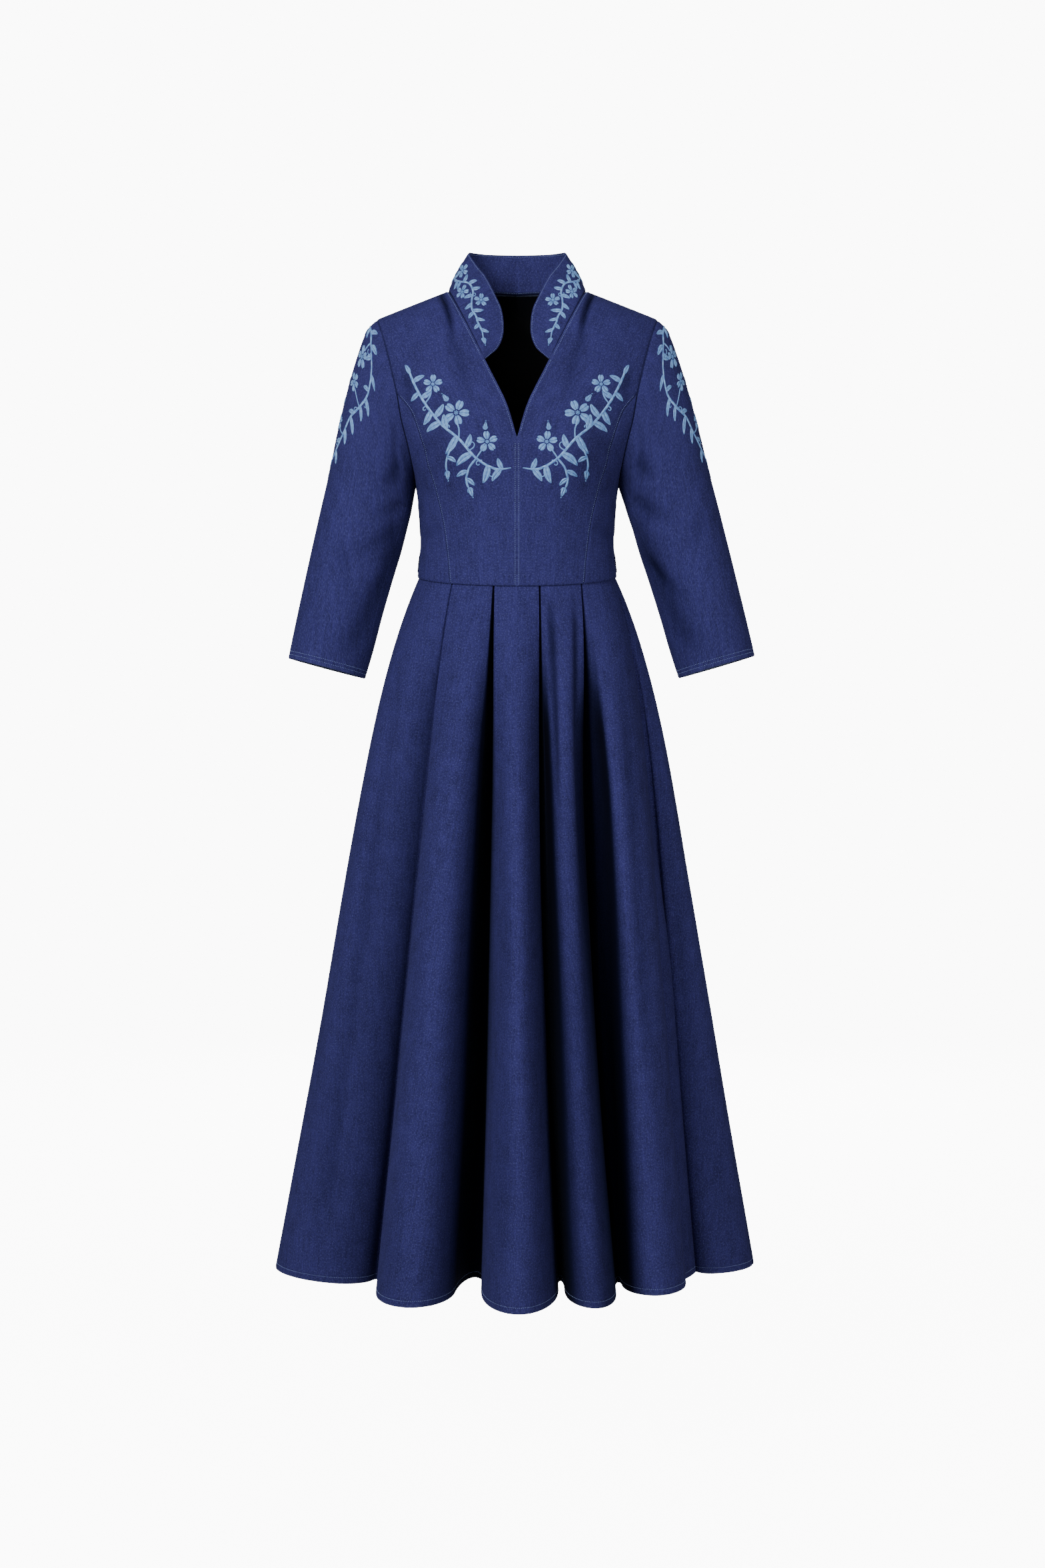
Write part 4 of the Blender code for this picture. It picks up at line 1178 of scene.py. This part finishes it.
# Finer steps: up from the hem, down from the armhole seam in rings, and as shares of a turn on
# both sides of the underarm seam
HEM_RINGS = np.array((13.5, 11.0, 9.5, 8.0, 6.2, 4.7, 3.2, 1.6, 0.7)) * MM
SEAM_RINGS = np.array((0.04, 0.12, 0.25, 0.45, 0.7))
SEAM_TURNS = np.array((0.0012, 0.003, 0.006))
# How much painted shade the cloth gets in the armpit and how far down that reaches
ARMPIT_PAINTED_SHADE, ARMPIT_REACH = 0.5, 190 * MM

last = len(SLEEVE_DROP) - 1
hem_rings = last - HEM_RINGS / (SLEEVE_DROP[-1] - SLEEVE_DROP[-2])
rings = np.unique(np.concatenate([[0.0], SEAM_RINGS, np.linspace(1, last, SLEEVE_RINGS), hem_rings]))
round_shares = np.unique(np.concatenate([np.linspace(0, 1, SLEEVE_TURNS), SEAM_TURNS, 1 - SEAM_TURNS]))
turns = UNDERARM + 2 * math.pi * round_shares
under = (1 - np.cos(turns))[None, :] / 2
drop = np.interp(rings, np.arange(last + 1), SLEEVE_DROP)[:, None]
degrees = np.degrees(np.mod(turns, 2 * math.pi))[None, :] * MM
armhole = ARMHOLE_SEAM._replace(sink=ARMHOLE_SEAM.sink * (1 - 0.95 * under))
sleeve_edges = {"low": armhole, "high": TURNED, "left": INNER_SEAM, "right": INNER_SEAM}
for side, mirrored in SIDES:
    grid = sleeve_point(side, rings[:, None], turns[None, :])
    rise = crease_rise(SLEEVE_CREASES[side], degrees, drop)
    grid += normals(grid) * rise[..., None]
    flat = cut_of(grid)
    gap = distances(grid)["high"]
    pull = sum(HEM_PULL * np.exp(-((gap / MM - row) ** 2)) for row in SLEEVE_HEM_ROWS)
    grid -= normals(grid) * pull[..., None]
    grid, wear, dark = finished(grid, 1, sleeve_edges)
    # Painted shade in the armpit, in the creases' troughs and along the seams
    armpit = ARMPIT_PAINTED_SHADE * under**3 * np.exp(-((drop / ARMPIT_REACH) ** 2))
    dark = np.maximum(dark, np.maximum(armpit, trough_shade(rise)))
    thick = DENIM_WALL + HEM_EXTRA * eased((HEM_BAND - gap) / HEM_EASE)[..., None]
    piece = cloth(f"sleeve_{side}_cloth", grid, thick, OUTSIDE, 1, wear, dark, mirrored)
    stands_for(f"sleeve_{side}")
    rows = [traced(grid, 1, "high", row * MM) for row in SLEEVE_HEM_ROWS]
    stitching(f"sleeve_{side}_hem_stitching", rows, (mirrored,))


# Skirt


def waist_points(place, tuck):
    """The skirt's top edge at places in degrees from the front, and the way out from it."""
    turn = np.radians(place)
    x = side_x(WAIST_HEIGHT) * np.sin(turn)
    front = np.cos(turn) > 0
    z = np.where(front, waist_z(x, "front"), waist_z(x, "back"))
    y = np.where(front, bodice_y(x, z, "front"), bodice_y(x, z, "back"))
    depth = np.where(front, read(GIRTH, "front", z), read(GIRTH, "back", z))
    out = unit(np.stack([x / side_x(z) ** 2, y / depth**2, 0 * x], -1))
    return np.stack([x, y, z], -1) - out * (DENIM_WALL + LAP_GAP + tuck)[:, None], out


def hip_bulge(share):
    """About 1 at the hip, a quarter of the way down the skirt, and 0 at the waist and hem."""
    return 4 * share * np.exp(1 - 4 * share) - share * 4 * math.exp(-3)


def arc(start, apex, end, turn):
    """Half an ellipse on the hem's outline, from start over the apex to end."""
    start, apex, end = np.array(start) * MM, np.array(apex) * MM, np.array(end) * MM
    middle = (start + end) / 2
    return middle - (end - start) / 2 * np.cos(turn)[:, None] + (apex - middle) * np.sin(turn)[:, None]


# What a strand of cloth down the skirt holds after its x and y on the hem: its place on the
# waist seam, tuck, gape, lateness, share across the fold (a dip's goes from 2 to 3) and the
# fold's number
PLACE, TUCK, GAPE, LATE, SHARE, NUMBER = range(2, 8)
FOLD_NAMES = list(FOLDS)

# Shares of the skirt's length: over which a dip grows to its depth and ends again, from which a
# dip swells out, over which the pleats open, and over which ripples begin, grow and fade
DIP_GROWS, DIP_ENDS, SWELL_BEGINS, GAPE_OPENS = 0.16, 0.45, 0.3, 0.34
RIPPLES_BEGIN, RIPPLE_GROWS, RIPPLE_FADES = 0.07, 0.22, 0.25
# The share of a fold at each side that stays free of ripples, and the unevenness in mm
RIPPLE_MARGIN, UNEVENNESS = 0.12, 0.7


def stranded(hem, place, tuck, gape, share, fold, number):
    columns = (hem, place, tuck, gape, np.full_like(share, fold.late), share, np.full_like(share, number))
    return np.column_stack(columns)


def skirt_strands(number):
    """Strands of cloth down a fold and the dip after it."""
    before, fold = FOLDS[FOLD_NAMES[number - 1]], FOLDS[FOLD_NAMES[number]]
    after = FOLDS[FOLD_NAMES[(number + 1) % len(FOLD_NAMES)]]
    mouth_before = PLEAT_MOUTH if before.tuck else 0
    mouth = PLEAT_MOUTH if fold.tuck else 0
    low, high = fold.waist[0] + mouth_before, fold.waist[1] - mouth
    way = 1 if fold.end[0] > fold.start[0] else -1
    share = np.linspace(0, 1, CREST_STEPS + 1)
    turn = math.pi * share
    lean = np.cos(turn)
    gape = way * lean * np.abs(lean) * np.where(lean > 0, before.gape, fold.gape) * MM / 2
    hem = arc(fold.start, fold.apex, fold.end, turn)
    strands = stranded(hem, low + (high - low) * share, 0 * share, gape, share, fold, number)
    if not mouth:
        return strands
    share = np.linspace(0, 1, DIP_STEPS + 1)[1:-1]
    turn = math.pi * share
    hem = arc(fold.end, fold.valley, after.start, turn)
    place, tuck = high + 2 * PLEAT_MOUTH * share, fold.tuck * MM * np.sin(turn)
    gape = -way * np.cos(turn) * fold.gape * MM / 2
    return np.concatenate([strands, stranded(hem, place, tuck, gape, 2 + share, fold, number)])


# How far over each fold's two flanks the painted shadow of the dips reaches, as shares of the fold,
# how much painted shade the two flanks get and the dip after them gets, and how far that dip sinks in,
# in mm, or stands out where it is below zero
Shade = namedtuple("Shade", "start end first second dip sink")
SHADES = {
    "right_side": Shade(0.04, 0.64, 0.0, 0.60, 0.40, -5),
    "right_front": Shade(0.03, 0.54, 0.0, 0.88, 0.97, 15),
    "centre_front": Shade(0.08, 0.50, 0.3, 0.55, 0.97, 15),
    "left_front": Shade(0.52, 0.80, 1.0, 0.95, 0.97, 15),
    "left_hip": Shade(0.42, 0.20, 0.96, 0.06, 0.0, -14),
    "left_side": Shade(0.04, 0.05, 0.0, 0.0, 0.0, 0),
    "left_back_side": Shade(0.05, 0.34, 0.0, 0.7, 0.70, 8),
    "left_back": Shade(0.22, 0.34, 0.6, 0.8, 0.92, 15),
    "centre_back": Shade(0.20, 0.28, 0.6, 0.8, 0.92, 15),
    "right_back": Shade(0.24, 0.32, 0.6, 0.75, 0.88, 12),
    "right_hip": Shade(0.34, 0.24, 0.7, 0.26, 0.15, -3),
    "right_back_side": Shade(0.04, 0.05, 0.0, 0.0, 0.0, 0),
}


def dips(strands, levels):
    """How far the cloth sinks further in between two folds, and the painted shade that it gets there and on
    the folds' flanks.
    """
    share, level = strands[:, SHARE][None, :], levels[:, None]
    own = np.array([SHADES[FOLD_NAMES[int(number)]] for number in strands[:, NUMBER]], float)
    start, end, first, second, dip, sink = own.T[:, None, :]
    inside = np.where(share > 1, np.sin(np.pi * np.clip(share - 2, 0, 1)), 0)
    deepening = eased(level / DIP_GROWS) * eased((1 - level) / DIP_ENDS)
    swelling = eased((level - SWELL_BEGINS) / SWELL_BEGINS)
    sink = sink * MM * inside * np.where(sink > 0, deepening, swelling)
    # The painted shadow is narrow at the waist: each flank's full reach comes lower down
    begin = start * (0.25 + 0.75 * eased(level / 0.75))
    finish = end * (0.5 + 0.5 * eased(level / 0.6))
    # Painted shade on each flank, heaviest at its edge beside a dip
    rising = first * eased(1.4 * (begin - share) / begin)
    falling = second * np.clip((share - 1 + finish) / finish, 0, 1) ** 1.2
    flank = np.maximum(rising, falling) * eased((level - 0.02) / 0.2)
    dark = np.where(share > 1, dip * (0.8 + 0.2 * inside), flank)
    return sink, dark * (1 - 0.1 * level) * (0.6 + 0.4 * eased(level / 0.1))


def skirt_grid(strands, levels):
    """The skirt's cloth between the waist seam and the hem, and the painted shade in its folds."""
    hem, gape, late = strands[:, :2], strands[:, GAPE], strands[:, LATE]
    place = strands[:, PLACE]
    waist, out = waist_points(place, strands[:, TUCK])
    hip = HIP_FRONT + (HIP_SIDE - HIP_FRONT) * np.sin(np.radians(place)) ** 2
    share = levels[:, None]
    opened = gape * hip_bulge(share) * eased(share / GAPE_OPENS)
    x = waist[:, 0] + (hem[:, 0] - waist[:, 0]) * share**late + opened
    y = waist[:, 1] + (hem[:, 1] - waist[:, 1]) * share
    z = waist[:, 2] + (HEM_HEIGHT - waist[:, 2]) * share
    dip_depth, fold = dips(strands, levels)
    return np.stack([x, y, z], -1) + out * (hip * hip_bulge(share) - dip_depth)[..., None], fold


def ripple_rise(strands, levels):
    """The shallow folds, and a faint unevenness all over."""
    share, level = strands[:, SHARE][None, :], levels[:, None]
    on_fold = eased(share / RIPPLE_MARGIN) * eased((1 - share) / RIPPLE_MARGIN)
    on_fold = on_fold * eased(level / RIPPLES_BEGIN)
    total = np.zeros((len(levels), len(strands)))
    for number, name in enumerate(FOLD_NAMES):
        here = (strands[:, NUMBER] == number)[None, :] & (share <= 1)
        for ripple in RIPPLES[name]:
            at = ripple.across0 + (ripple.across1 - ripple.across0) * level
            window = eased((level - ripple.top) / RIPPLE_GROWS)
            window = window * eased((ripple.bottom - level) / RIPPLE_FADES)
            ridge = np.exp(-(((share - at) / ripple.width) ** 2))
            total += here * ripple.rise * ridge * window * on_fold
    phase = strands[:, NUMBER][None, :] * 2.4
    broad = np.sin(7 * level + phase) * np.sin(5 * share + phase)
    fine = np.sin(17 * level + 2 * phase) * np.sin(9 * share + phase)
    uneven = UNEVENNESS * (broad + 0.6 * fine) * (share <= 1) * eased(level / 0.3)
    return (total + uneven) * MM


# The front's seams lie in the middle of two dips, and the back's on its middle fold
around = {name: skirt_strands(number) for number, name in enumerate(FOLD_NAMES)}
crest = CREST_STEPS // 2
dip = CREST_STEPS + DIP_STEPS // 2
right, centre, rear = around["right_front"], around["centre_front"], around["centre_back"]
panels = {
    "skirt_front_right": [around["right_side"], right[: dip + 1]],
    "skirt_front_centre": [right[dip:], centre[: dip + 1]],
    "skirt_front_left": [centre[dip:]] + [around[name] for name in FOLD_NAMES[3:6]],
    "skirt_back_left": [around[name] for name in FOLD_NAMES[6:8]] + [rear[: crest + 1]],
    "skirt_back_right": [rear[crest:]] + [around[name] for name in FOLD_NAMES[9:]],
}
# Finer steps: down from the waist seam and up from the hem
WAIST_LEVELS = np.array((0, 1.2, 3, 6, 10)) * MM
HEM_LEVELS = np.array((14, 11.5, 10.2, 9.2, 8.3, 7.4, 5.5, 3.5, 1.8, 0.8, 0)) * MM
# The skirt's turned-up hem: its height, how much thicker it is, and how deep and how wide (in
# mm) the row of stitches pulls it in
HEM_TOP, HEM_THICKENING, HEM_DENT, HEM_DENT_WIDTH = 11.5 * MM, 1.0 * MM, 0.35 * MM, 1.1
DUPLICATE = 0.2 * MM  # two strands closer than this at the hem are one
TROUGH_SHARE = 0.8  # how much of the trough's shade a ripple gets
tall = abs(HEM_HEIGHT - WAIST_HEIGHT)
between = np.linspace(0.015, 0.985, SKIRT_LEVELS)
levels = np.unique(np.concatenate([WAIST_LEVELS / tall, between, 1 - HEM_LEVELS / tall]))
hem_rows = []
for name, strands in panels.items():
    strands = np.concatenate(strands)
    grid, fold = skirt_grid(strands, levels)
    keep = np.concatenate([[True], np.linalg.norm(np.diff(grid[-1], axis=0), axis=1) > DUPLICATE])
    strands, grid, fold = strands[keep], grid[:, keep], fold[:, keep]
    rise = ripple_rise(strands, levels)
    grid -= normals(grid) * rise[..., None]
    # Painted shade in the ripples' troughs
    fold = np.maximum(fold, trough_shade(TROUGH_SHARE * rise))
    # Above the waist seam the cloth lies flat under the bodice, which closes the pleats' mouths
    lap = waist_points(strands[:, PLACE], 0 * strands[:, TUCK])[0] + (0, 0, WAIST_LAP)
    grid, fold = np.concatenate([lap[None], grid]), np.concatenate([fold[:1], fold])
    flat = cut_of(grid)
    gap = distances(grid)["high"]
    dent = HEM_DENT * np.exp(-(((gap / MM - SKIRT_HEM_ROW) / HEM_DENT_WIDTH) ** 2))
    grid += normals(grid) * dent[..., None]
    left_edge = DIP_SEAM if name in ("skirt_front_centre", "skirt_front_left") else SEAM
    right_edge = DIP_SEAM if name in ("skirt_front_right", "skirt_front_centre") else SEAM
    grid, wear, dark = finished(grid, -1, {"high": TURNED, "left": left_edge, "right": right_edge})
    thick = DENIM_WALL + HEM_THICKENING * eased((HEM_TOP - gap) / HEM_EASE)[..., None]
    # The fold attribute takes the painted shade of the folds, ripples and seam lines
    piece = cloth(f"{name}_panel", grid, thick, OUTSIDE, -1, wear, np.maximum(fold, dark))
    face, part = name.split("_")[1:]
    stands_for(name)
    hem_rows.append(traced(grid, -1, "high", SKIRT_HEM_ROW * MM))

stitching("skirt_hem_stitching", hem_rows)
stitching("bodice_stitching", bodice_rows, (False, True))
stitching("collar_stitching", collar_rows, (False, True))


# Embroidery


def on_chest(u, v):
    return with_normals(lambda x, z: bodice_point(x, z, "front"), u, v, 1)


collar_run = run_along(collar_point(stations, 0.5))
collar_width = np.linalg.norm(collar_point(stations, 1.0) - collar_point(stations, 0.0), axis=1)


def on_collar(u, v):
    """u runs along the collar from the centre back, v up from the neck seam."""

    def surface(a, b):
        station = np.interp(a, collar_run, stations)
        return collar_point(station, b / np.interp(station, stations, collar_width))

    return with_normals(surface, u, v, -1)


def on_sleeve(side):
    """u runs from the sleeve's outer line to its front, v down from the shoulder."""
    # Round the sleeve a radian is this long on the outer line, and this much more at the front
    short, more = 59 * MM, 31 * MM

    def surface(a, b):
        ring = np.interp(b, SLEEVE_DROP, np.arange(len(SLEEVE_DROP)))
        turn = a / (short + more / 3)
        for _ in range(6):
            run = short * turn + more * (turn / 2 - np.sin(2 * turn) / 4)
            turn = turn - (run - a) / (short + more * np.sin(turn) ** 2)
        return sleeve_point(side, ring, turn)

    return lambda u, v: with_normals(surface, u, v, 1)


def chest_spray():
    spray = Spray(on_chest)
    spray.stem(
        [(8, -262), (30, -263), (56, -249), (80, -222), (104, -200), (128, -168), (146, -134), (153, -112)],
        2.6,
    )
    spray.stem([(56, -249), (50, -240), (44, -232)], 1.6)
    spray.stem([(80, -222), (80, -208), (84, -196)], 1.6)
    spray.stem([(128, -168), (122, -160), (119, -152)], 1.6)
    spray.flower((41, -226), 12.5, 12)
    spray.flower((84, -184), 15.5, 40)
    spray.flower((117, -141), 11.5, 20)
    for base, angle, length, width, bend in (
        ((20, -263), 62, 15, 6, 30), ((22, -264), -48, 19, 7, -30), ((40, -258), -78, 24, 8, 30),
        ((62, -243), -30, 25, 8.5, -36), ((70, -234), 112, 18, 7, -30), ((84, -218), -62, 26, 8.5, 34),
        ((97, -206), 74, 20, 7.5, 26), ((106, -197), -24, 21, 8, -34), ((114, -188), 128, 20, 7.5, -26),
        ((120, -179), -66, 20, 7.5, 30), ((133, -159), 152, 16, 6.5, -20), ((137, -152), -40, 15, 6, -20),
        ((145, -136), 150, 17, 6, 28), ((150, -124), 66, 14, 5, -18),
    ):
        spray.leaf(base, angle, length, width, bend)
    spray.tendril((30, -263), -100, 26, 250)
    spray.tendril((48, -252), 8, 20, -260)
    spray.tendril((92, -211), 20, 24, 290)
    spray.tendril((66, -238), 160, 26, -250)
    spray.tendril((104, -198), 118, 22, 240)
    spray.tendril((124, -172), 6, 17, -250)
    spray.stem([(56, -249), (66, -262), (70, -278), (66, -290)], 2.2, (0.5, 0.2))
    spray.leaf((69, -266), -20, 15, 5.5, -30)
    spray.leaf((70, -276), 214, 14, 5, 30)
    spray.bud((66, -288), -112, 12)
    spray.stem([(80, -222), (92, -236), (98, -252), (97, -266)], 2.0, (0.5, 0.2))
    spray.leaf((96, -246), 208, 13, 5, 26)
    spray.bud((97, -264), -98, 11)
    spray.bud((44, -209), 96, 10)
    spray.bud((96, -166), 52, 11)
    return spray


def collar_spray():
    spray = Spray(on_collar)
    spray.stem(
        [(104, 40), (114, 28), (130, 22), (148, 28), (162, 36), (178, 34), (192, 24), (206, 18), (220, 18),
         (232, 16), (246, 16), (258, 13)],
        2.2,
    )
    spray.flower((132, 41), 10.5, 18)
    spray.flower((166, 19), 10.5, 50)
    spray.flower((198, 37), 9, 5)
    for base, angle, length, width, bend in (
        ((106, 37), 70, 13, 5.5, 24), ((110, 32), 200, 13, 5, -20), ((118, 26), -100, 14, 5.5, 30),
        ((124, 24), 60, 12, 5, -24), ((138, 24), -60, 15, 6, -26), ((147, 27), -70, 13, 5, 30),
        ((152, 30), 110, 14, 6, 26), ((162, 36), 70, 13, 5.5, -24), ((174, 35), 60, 12, 5, 26),
        ((184, 30), -110, 14, 5.5, 20), ((196, 22), -70, 14, 5.5, -20), ((208, 18), 60, 15, 5.5, 26),
        ((212, 18), -60, 13, 5, 24), ((224, 17), 50, 12, 4.5, 20), ((234, 16), -50, 11, 4.5, -20),
        ((243, 16), 45, 11, 4.5, 20),
    ):
        spray.leaf(base, angle, length, width, bend)
    spray.tendril((128, 22), -40, 16, 250, 1.6)
    spray.tendril((178, 34), -20, 15, -250, 1.6)
    spray.tendril((186, 29), 70, 13, 240, 1.6)
    spray.bud((258, 13), -10, 10)
    return spray


def sleeve_spray(side):
    """The same spray to the front and to the back of the sleeve's outer line."""
    spray = Spray(on_sleeve(side))
    for way in (1, -1):
        def put(across, drop):
            return (way * across, drop)

        def lean(angle):
            return angle if way > 0 else 180 - angle

        def stem(width, *knots):
            spray.stem([put(*knot) for knot in knots], width)

        stem(2.6, (5, 14), (34, 20), (62, 44), (72, 78), (62, 112), (46, 142), (38, 170), (22, 204), (3, 226))
        stem(1.6, (62, 112), (48, 104), (40, 98))
        stem(1.6, (40, 24), (36, 36), (34, 44))
        spray.flower(put(32, 54), 13, 90 - way * 60)
        spray.flower(put(32, 92), 11.5, 90 - way * 20)
        spray.flower(put(14, 158), 10, 90 + way * 20)
        stem(1.5, (38, 170), (28, 168), (20, 162))
        for base, angle, length, width, bend in (
            ((16, 15), 60, 15, 6, -20), ((26, 18), -40, 16, 6, 20), ((44, 26), -20, 17, 6.5, 30),
            ((54, 36), 130, 15, 6, -30), ((66, 52), 16, 18, 7, 34), ((72, 72), 150, 15, 6, -20),
            ((71, 88), 46, 22, 7.5, 34), ((64, 108), 60, 20, 7, 26), ((54, 128), 160, 15, 6, -26),
            ((48, 138), 50, 24, 7.5, 30), ((40, 160), 64, 22, 7, 26), ((34, 180), 160, 14, 5.5, -24),
            ((26, 198), 60, 19, 6.5, 30), ((14, 214), 160, 13, 5, -20),
        ):
            spray.leaf(put(*base), lean(angle), length, width, bend * way)
        spray.tendril(put(50, 32), lean(100), 22, 250 * way, 1.8)
        spray.tendril(put(60, 116), lean(170), 24, -240 * way, 1.8)
        spray.tendril(put(68, 96), lean(-10), 18, 240 * way, 1.8)
        spray.bud(put(10, 122), lean(95), 11)
        spray.tendril(put(32, 184), lean(110), 20, 230 * way, 1.8)
    spray.bud((0, 226), 90, 15)
    spray.bud((0, 30), -90, 12)
    spray.bud((0, 92), 90, 11)
    return spray


chest_spray().finish("chest_embroidery", (False, True))
collar_spray().finish("collar_embroidery", (False, True))
for side, mirrored in SIDES:
    sleeve_spray(side).finish(f"sleeve_{side}_embroidery", (mirrored,))


# Studio


def lamp(name, place, towards_height, size, power):
    """A soft lamp that shines towards this height on the dress's middle line."""
    data = bpy.data.lights.new(name, "AREA")
    data.shape = "RECTANGLE"
    data.size, data.size_y = size
    data.energy = power
    item = linked(name, data)
    item.location = place
    item.rotation_mode = "QUATERNION"
    item.rotation_quaternion = (Vector((0, 0, towards_height)) - Vector(place)).to_track_quat("-Z", "Y")
    item.visible_camera = False


def one_sided_paper():
    """Plain glowing paper that is clear from behind, so that it hides no view of the dress."""
    material, tree, shader = shader_of("pale_paper", 0.9, 0.0, 0.1)
    shader.inputs["Base Color"].default_value = (0.9, 0.9, 0.9, 1)
    shader.inputs["Emission Color"].default_value = (1, 1, 1, 1)
    shader.inputs["Emission Strength"].default_value = PAPER_GLOW
    behind = node(tree, "NewGeometry").outputs["Backfacing"]
    clear = node(tree, "BsdfTransparent").outputs[0]
    both = node(tree, "MixShader", {0: behind, 1: shader.outputs[0], 2: clear})
    tree.links.new(both.outputs[0], tree.nodes["Material Output"].inputs["Surface"])
    return material


# The floor is a round sheet of paper that sweeps up into a wall all round, in metres
FLOOR_HEIGHT, FLOOR_REACH, SWEEP, WALL_TOP = -1.62, 5.6, 1.4, 5.0
FLOOR_TURNS, SWEEP_STEPS, PAPER_GLOW = 72, 14, 10.0
profile = [(0.0, FLOOR_HEIGHT), (FLOOR_REACH, FLOOR_HEIGHT)]
profile += [
    (FLOOR_REACH + SWEEP * math.sin(turn), FLOOR_HEIGHT + SWEEP - SWEEP * math.cos(turn))
    for turn in np.linspace(0.1, math.pi / 2, SWEEP_STEPS)
]
profile += [(FLOOR_REACH + SWEEP, WALL_TOP)]
floor_points = [
    (reach * math.cos(turn), reach * math.sin(turn), z)
    for reach, z in profile for turn in np.arange(FLOOR_TURNS) * 2 * math.pi / FLOOR_TURNS
]
floor_faces = []
for first in range(0, FLOOR_TURNS * (len(profile) - 1), FLOOR_TURNS):
    for turn in range(FLOOR_TURNS):
        a, b = first + turn, first + (turn + 1) % FLOOR_TURNS
        floor_faces.append((a, a + FLOOR_TURNS, b + FLOOR_TURNS, b))
floor_mesh = bpy.data.meshes.new("studio_floor")
floor_mesh.from_pydata(floor_points, [], floor_faces)
floor_mesh.materials.append(one_sided_paper())
floor_mesh.shade_smooth()
floor = linked("studio_floor", floor_mesh)
floor.visible_diffuse = False
floor.visible_glossy = False
floor.visible_shadow = False

AIR_LIGHT = 0.22
world = bpy.data.worlds.new("studio")
bpy.context.scene.world = world
world.use_nodes = True
background = world.node_tree.nodes["Background"]
background.inputs["Color"].default_value = (1.0, 1.0, 1.0, 1)
background.inputs["Strength"].default_value = AIR_LIGHT
# Each lamp's place, the height that it shines at, its size and its power
lamp("key", (-1.75, -2.8, 0.75), -0.75, (1.2, 1.6), 118)
lamp("fill", (2.3, -2.7, -0.1), -0.75, (1.4, 2.0), 46)
lamp("low_front", (-0.5, -3.6, -0.9), -0.9, (1.2, 1.0), 16)
lamp("back_key", (0.2, 4.2, 0.6), -0.75, (1.6, 1.8), 130)

# A level camera before the middle of the dress, which lies a little to one side in the picture
CAMERA_PLACE, CAMERA_LENS, SENSOR_WIDTH = (7.6 * MM, -3.2, -697 * MM), 51.54, 36
camera_data = bpy.data.cameras.new("camera")
camera_data.sensor_width = SENSOR_WIDTH
camera_data.sensor_fit = "AUTO"
camera_data.lens = CAMERA_LENS
camera = linked("camera", camera_data)
camera.location = CAMERA_PLACE
camera.rotation_euler = (math.pi / 2, 0, 0)
bpy.context.scene.camera = camera

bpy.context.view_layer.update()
